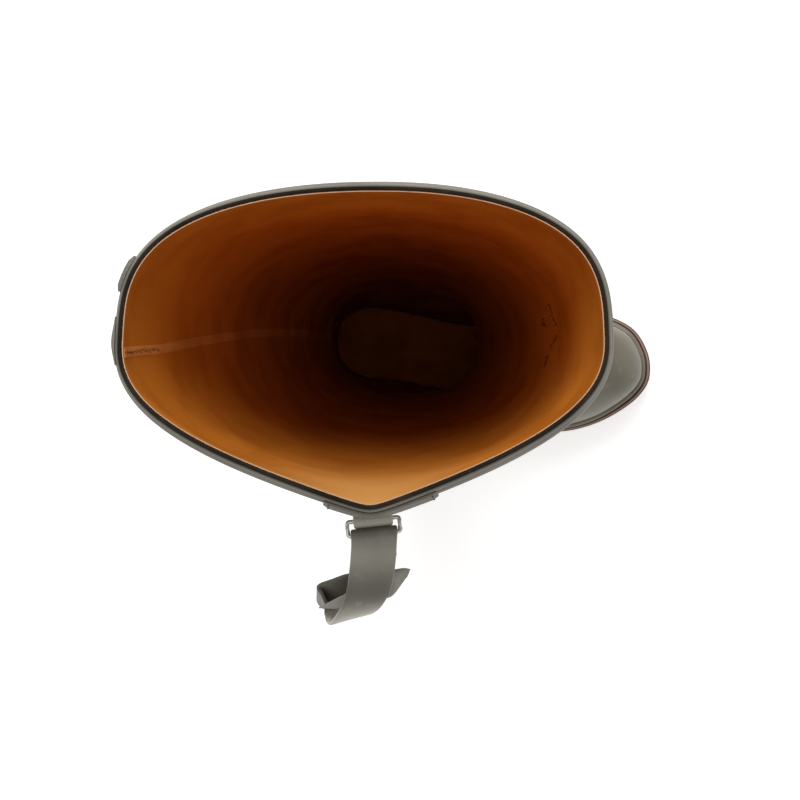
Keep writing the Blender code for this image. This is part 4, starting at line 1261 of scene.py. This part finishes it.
def threadTree():
    tree = bpy.data.node_groups.new("threadsOnPoints", "GeometryNodeTree")
    face = tree.interface
    face.new_socket("Geometry", in_out="INPUT", socket_type="NodeSocketGeometry")
    for key, value in (("Length", 0.002), ("Width", 0.0006), ("Height", 0.0004), ("Scatter", 0.0)):
        face.new_socket(key, in_out="INPUT", socket_type="NodeSocketFloat").default_value = value
    face.new_socket("Seed", in_out="INPUT", socket_type="NodeSocketInt").default_value = 1
    face.new_socket("Material", in_out="INPUT", socket_type="NodeSocketMaterial")
    face.new_socket("Geometry", in_out="OUTPUT", socket_type="NodeSocketGeometry")
    start = tree.nodes.new("NodeGroupInput")
    end = tree.nodes.new("NodeGroupOutput")
    vector = {"data_type": "FLOAT_VECTOR"}
    up = addNode(tree, "GeometryNodeInputNamedAttribute", vector, {"Name": "faceNormal"}).outputs["Attribute"]
    along = addNode(tree, "GeometryNodeInputNamedAttribute", vector, {"Name": "along"}).outputs["Attribute"]
    random = addNode(tree, "FunctionNodeRandomValue", vector,
                     {0: (-1.0, -1.0, -1.0), 1: (1.0, 1.0, 1.0), "Seed": start.outputs["Seed"]}).outputs[0]
    lean = addNode(tree, "ShaderNodeVectorMath", {"operation": "SCALE"},
                   {0: random, "Scale": start.outputs["Scatter"]}).outputs[0]
    leaned = addNode(tree, "ShaderNodeVectorMath", {"operation": "ADD"}, {0: along, 1: lean}).outputs[0]
    turned = addNode(tree, "FunctionNodeAxesToRotation", {"primary_axis": "X", "secondary_axis": "Z"},
                     {"Primary Axis": leaned, "Secondary Axis": up}).outputs["Rotation"]
    size = addNode(tree, "ShaderNodeCombineXYZ", {},
                   {"X": start.outputs["Length"], "Y": start.outputs["Width"],
                    "Z": start.outputs["Height"]}).outputs[0]
    thread = addNode(tree, "GeometryNodeMeshUVSphere", {},
                     {"Segments": 8, "Rings": 5, "Radius": 0.5}).outputs["Mesh"]
    placed = addNode(tree, "GeometryNodeInstanceOnPoints", {},
                     {"Points": start.outputs["Geometry"], "Instance": thread, "Rotation": turned,
                      "Scale": size})
    real = addNode(tree, "GeometryNodeRealizeInstances", {}, {"Geometry": placed.outputs["Instances"]})
    dyed = addNode(tree, "GeometryNodeSetMaterial", {},
                   {"Geometry": real.outputs["Geometry"], "Material": start.outputs["Material"]})
    smooth = addNode(tree, "GeometryNodeSetShadeSmooth", {}, {"Geometry": dyed.outputs["Geometry"]})
    tree.links.new(smooth.outputs["Geometry"], end.inputs["Geometry"])
    return tree


threads = threadTree()


# A plain mesh of threads, one on each point. The sizes are length, width and height.
def sewnPiece(name, points, alongs, ups, sizes, material, scatter=0.0, seed=1):
    mesh = bpy.data.meshes.new(name)
    mesh.from_pydata([tuple(p) for p in points], [], [])
    for key, vectors in (("along", alongs), ("faceNormal", ups)):
        attribute = mesh.attributes.new(key, "FLOAT_VECTOR", "POINT")
        attribute.data.foreach_set("vector", np.asarray(vectors, dtype=np.float32).ravel())
    thing = bpy.data.objects.new(name, mesh)
    bpy.context.scene.collection.objects.link(thing)
    modifier = thing.modifiers.new("threads", "NODES")
    modifier.node_group = threads
    given = {"Length": sizes[0], "Width": sizes[1], "Height": sizes[2], "Scatter": scatter, "Seed": seed,
             "Material": material}
    for item in threads.interface.items_tree:
        if item.in_out == "INPUT" and item.name in given:
            modifier[item.identifier] = given[item.name]
    bpy.context.view_layer.update()
    plain = bpy.data.meshes.new_from_object(thing.evaluated_get(bpy.context.evaluated_depsgraph_get()))
    thing.modifiers.clear()
    thing.data = plain
    thing.data.name = name
    return thing


# Points at even gaps along a path, with their directions and normals
def alongPath(path, ups, gap):
    gaps = np.linalg.norm(np.diff(path, axis=0), axis=1)
    length = np.concatenate(([0.0], np.cumsum(gaps)))
    count = max(2, int(length[-1] / gap))
    wanted = (np.arange(count) + 0.5) * length[-1] / count
    points = np.stack([np.interp(wanted, length, path[:, k]) for k in range(3)], axis=1)
    normals = np.stack([np.interp(wanted, length, ups[:, k]) for k in range(3)], axis=1)
    alongs = np.gradient(points, axis=0)
    return points, alongs, normals


# Seam tape up the back of the lining, with zigzag stitches near the rim

tapeLook = {
    "halfWidth": 0.0029,
    "thickness": 0.0005,
    "lean": 2.2,  # columns toward the strap side at the rim
    "leanReach": 0.30,
    "liftOff": 0.00008,  # keeps the tape off the lining
    "zigHeight": 0.0040,
    "zigGap": 0.0026,
    "zigSize": (0.0048, 0.00045, 0.0004),
    "zigStart": 0.003,
    "zigLift": 0.0002,
    "sewn": 0.075,
}


# The spot of a ring under the tape's middle, at a drop below the rim
def tapeSpot(ring, drop):
    lean = tapeLook["lean"] * max(0.0, 1.0 - drop / tapeLook["leanReach"])
    low = int(lean)
    return ring[low] * (1 - lean + low) + ring[low + 1] * (lean - low)


tapeRows = [i for i in range(6, len(skin)) if rimRing[0, 2] - skin[i, 0, 2] > 0.001]
tapeInner = []
tapeOuter = []
for i in tapeRows:
    drop = rimRing[0, 2] - skin[i, 0, 2]
    face = tapeSpot(skinNormals[i], drop)
    middle = tapeSpot(skin[i], drop) - face * (boot["wall"] + tapeLook["liftOff"])
    side = tapeSpot(np.roll(skin[i], -1, axis=0) - np.roll(skin[i], 1, axis=0), drop)
    side /= np.linalg.norm(side)
    spots = [middle + side * tapeLook["halfWidth"] * s for s in np.linspace(-1, 1, 7)]
    tapeOuter.append(spots)
    tapeInner.append([spot - face * tapeLook["thickness"] * (1.0 - 0.5 * abs(s) ** 4)
                      for spot, s in zip(spots, np.linspace(-1, 1, 7))])
seamTape = plateSolid("seam_tape", tapeInner, tapeOuter)
wear(seamTape, tapeCloth, None)

zigPoints = []
zigAlongs = []
zigUps = []
drop = tapeLook["zigStart"]
flip = 1
away = -boot["wall"] - tapeLook["thickness"] - tapeLook["zigLift"]
while drop < tapeLook["sewn"]:
    low = tapeSpot(ringBelowRim(drop, away), drop)
    high = tapeSpot(ringBelowRim(drop + tapeLook["zigGap"], away), drop)
    side = np.array((1.0, 0.0, 0.0)) * tapeLook["zigHeight"] * flip
    zigPoints.append((low + high) / 2)
    zigAlongs.append(high + side / 2 - low + side / 2)
    zigUps.append((0.0, -1.0, 0.0))
    drop += tapeLook["zigGap"]
    flip = -flip
zigzag = sewnPiece("tape_zigzag", zigPoints, zigAlongs, zigUps, tapeLook["zigSize"], brownThread, 0.45, 5)
wear(zigzag, brownThread, None)


# Stitches along the edges of the patch

def patchPath(kind):
    inset = patchLook["stitchInset"]
    columns = patchColumns
    thick = patchLook["thickness"] + boot["gap"] + patchLook["stitchLift"]
    path = []
    ups = []
    if kind in ("front", "back"):
        column = columns[-2] if kind == "front" else columns[1]
        for drop in np.linspace(*patchLook["sideRun"], 40):
            path.append(ringBelowRim(drop, bandReach(drop) + thick)[column])
            ups.append(skinNormals[patchLook["normalRow"], column])
    else:
        drop = patchLook["topRow"] if kind == "top" else patchLook["bottomDrop"] - inset
        ring = ringBelowRim(drop, bandReach(drop) + thick)
        for column in columns[1:-1]:
            path.append(ring[column])
            ups.append(skinNormals[patchLook["normalRow"], column])
    return np.array(path), np.array(ups)


sewn = [alongPath(*patchPath(kind), patchLook["stitchLength"] + patchLook["stitchGap"])
        for kind in ("front", "back", "top", "bottom")]
patchStitches = sewnPiece("patch_stitches", *[np.concatenate([s[k] for s in sewn]) for k in range(3)],
                          (patchLook["stitchLength"], patchLook["stitchWidth"], patchLook["stitchHeight"]),
                          darkThread)
wear(patchStitches, darkThread, None)


# Short fibres that stand out of the lining's cut edge

fibreLook = {"count": 1500, "length": 0.0011, "width": 0.00012}
turns = rng.uniform(0, around, fibreLook["count"])
low = np.floor(turns).astype(int)
part = (turns - low)[:, None]
edgeLine = liningEdge[1]
fibrePoints = edgeLine[low % around] * (1 - part) + edgeLine[(low + 1) % around] * part
inwardPoint = -skinNormals[-1][low % around]
fibreAlongs = inwardPoint * 0.5 + np.array((0.0, 0.0, 0.6)) + rng.normal(0.0, 0.45, (fibreLook["count"], 3))
fibres = sewnPiece("lining_fibres", fibrePoints, fibreAlongs, inwardPoint,
                   (fibreLook["length"], fibreLook["width"], fibreLook["width"]), threadCloth, 0.4, 11)
wear(fibres, threadCloth, None)
print("stitches and fibres made")

# Thin lines of painted shade along creases across the front of the lining, each as columns and drops below the
# rim
creaseShadeLook = {"size": (0.0044, 0.0006, 0.0003), "marks": 11, "wander": 0.0008, "lift": 0.0003, "normalRow": -40}
creaseShadePaths = (
    ((121.5, 0.171), (119.0, 0.1755), (117.0, 0.169), (116.0, 0.163)),
    ((113.4, 0.166), (112.4, 0.176), (111.0, 0.1918)),
    ((108.8, 0.199), (108.0, 0.203), (106.2, 0.2072)),
    ((118.6, 0.209), (117.4, 0.2116), (116.8, 0.207)),
)
creaseShadeRng = np.random.default_rng(23)
creaseShadePoints = []
creaseShadeAlongs = []
creaseShadeUps = []
for path in creaseShadePaths:
    shares = np.linspace(0.0, len(path) - 1.0, creaseShadeLook["marks"])
    columns = np.interp(shares, range(len(path)), [spot[0] for spot in path])
    drops = np.interp(shares, range(len(path)), [spot[1] for spot in path])
    drops += creaseShadeRng.normal(0.0, creaseShadeLook["wander"], len(shares))
    spots = []
    for column, drop in zip(columns, drops):
        ring = ringBelowRim(drop, -boot["wall"] - creaseShadeLook["lift"])
        low = int(column)
        spots.append(blend(ring[low], ring[low + 1], column - low))
        creaseShadeUps.append(-skinNormals[creaseShadeLook["normalRow"], low])
    creaseShadePoints += spots
    creaseShadeAlongs += list(np.gradient(np.array(spots), axis=0))
creaseShadeMarks = sewnPiece("lining_crease_shade", creaseShadePoints, creaseShadeAlongs, creaseShadeUps, creaseShadeLook["size"], creaseShadeCloth,
                   0.1, 3)
wear(creaseShadeMarks, creaseShadeCloth, None)


# Floor, light and camera

studio = {
    "floor": "#f6f5f3",
    "floorReach": 6.0,
    "nadirAside": 0.004,  # the spot under the camera, from the foot's middle and the heel
    "nadirAhead": 0.106,
    "aimLeft": 0.0369,
    "aimDown": 0.0461,
    "sky": "#fdfdff",
    "cameraHeight": 1.80,
    "focal": 87.9,  # millimetres on a 36 mm sensor
    "world": 0.46,
    "floorGlow": 0.56,
}

floorMesh = bpy.data.meshes.new("studio_floor")
edge = studio["floorReach"]
floorMesh.from_pydata([(-edge, -edge, 0.0), (edge, -edge, 0.0), (edge, edge, 0.0), (-edge, edge, 0.0)], [],
                      [(0, 1, 2, 3)])
floor = bpy.data.objects.new("studio_floor", floorMesh)
bpy.context.scene.collection.objects.link(floor)
floorPaint, _, floorShader = newMaterial("painted_studio_floor")
floorShader.inputs["Base Color"].default_value = colour(studio["floor"])
floorShader.inputs["Roughness"].default_value = 0.9
floorShader.inputs["Emission Color"].default_value = colour(studio["floor"])
floorShader.inputs["Emission Strength"].default_value = studio["floorGlow"]
floor.data.materials.append(floorPaint)

world = bpy.context.scene.world or bpy.data.worlds.new("studio")
bpy.context.scene.world = world
world.use_nodes = True
back = world.node_tree.nodes["Background"]
back.inputs["Color"].default_value = colour(studio["sky"])
back.inputs["Strength"].default_value = studio["world"]

lights = (
    # name, place, height that it aims at, side of the square, power
    ("key_light", (2.0, 0.5, 2.6), 0.5, 1.8, 56.0),
    ("top_light", (0.3, 0.2, 3.2), 0.4, 2.4, 5.0),
    ("fill_light", (-2.2, -1.2, 1.6), 0.4, 2.0, 5.0),
)
for name, place, aimHeight, side, power in lights:
    light = bpy.data.lights.new(name, "AREA")
    light.shape = "SQUARE"
    light.size = side
    light.energy = power
    lamp = bpy.data.objects.new(name, light)
    bpy.context.scene.collection.objects.link(lamp)
    lamp.location = place
    lamp.rotation_euler = (Vector((0.0, 0.0, aimHeight)) - Vector(place)).to_track_quat("-Z", "Y").to_euler()

# Straight down over the collar, rolled so that the toe points right
pictureRight = Vector((0.0863, -0.9963, 0.0))
pictureUp = Vector((0.9963, 0.0863, 0.0))
nadir = Vector((middleX + studio["nadirAside"], heelY - studio["nadirAhead"], 0.0))
aimed = nadir - pictureRight * studio["aimLeft"] - pictureUp * studio["aimDown"]
eye = nadir + Vector((0.0, 0.0, studio["cameraHeight"]))
cameraData = bpy.data.cameras.new("camera")
cameraData.lens = studio["focal"]
cameraData.sensor_width = 36.0
camera = bpy.data.objects.new("camera", cameraData)
bpy.context.scene.collection.objects.link(camera)
backwards = (eye - aimed).normalized()
sideways = pictureUp.cross(backwards).normalized()
upwards = backwards.cross(sideways)
camera.matrix_world = Matrix.Translation(eye) @ Matrix((sideways, upwards, backwards)).transposed().to_4x4()
bpy.context.scene.camera = camera
bpy.context.scene.view_settings.view_transform = "Standard"
print("floor, lights and camera made")
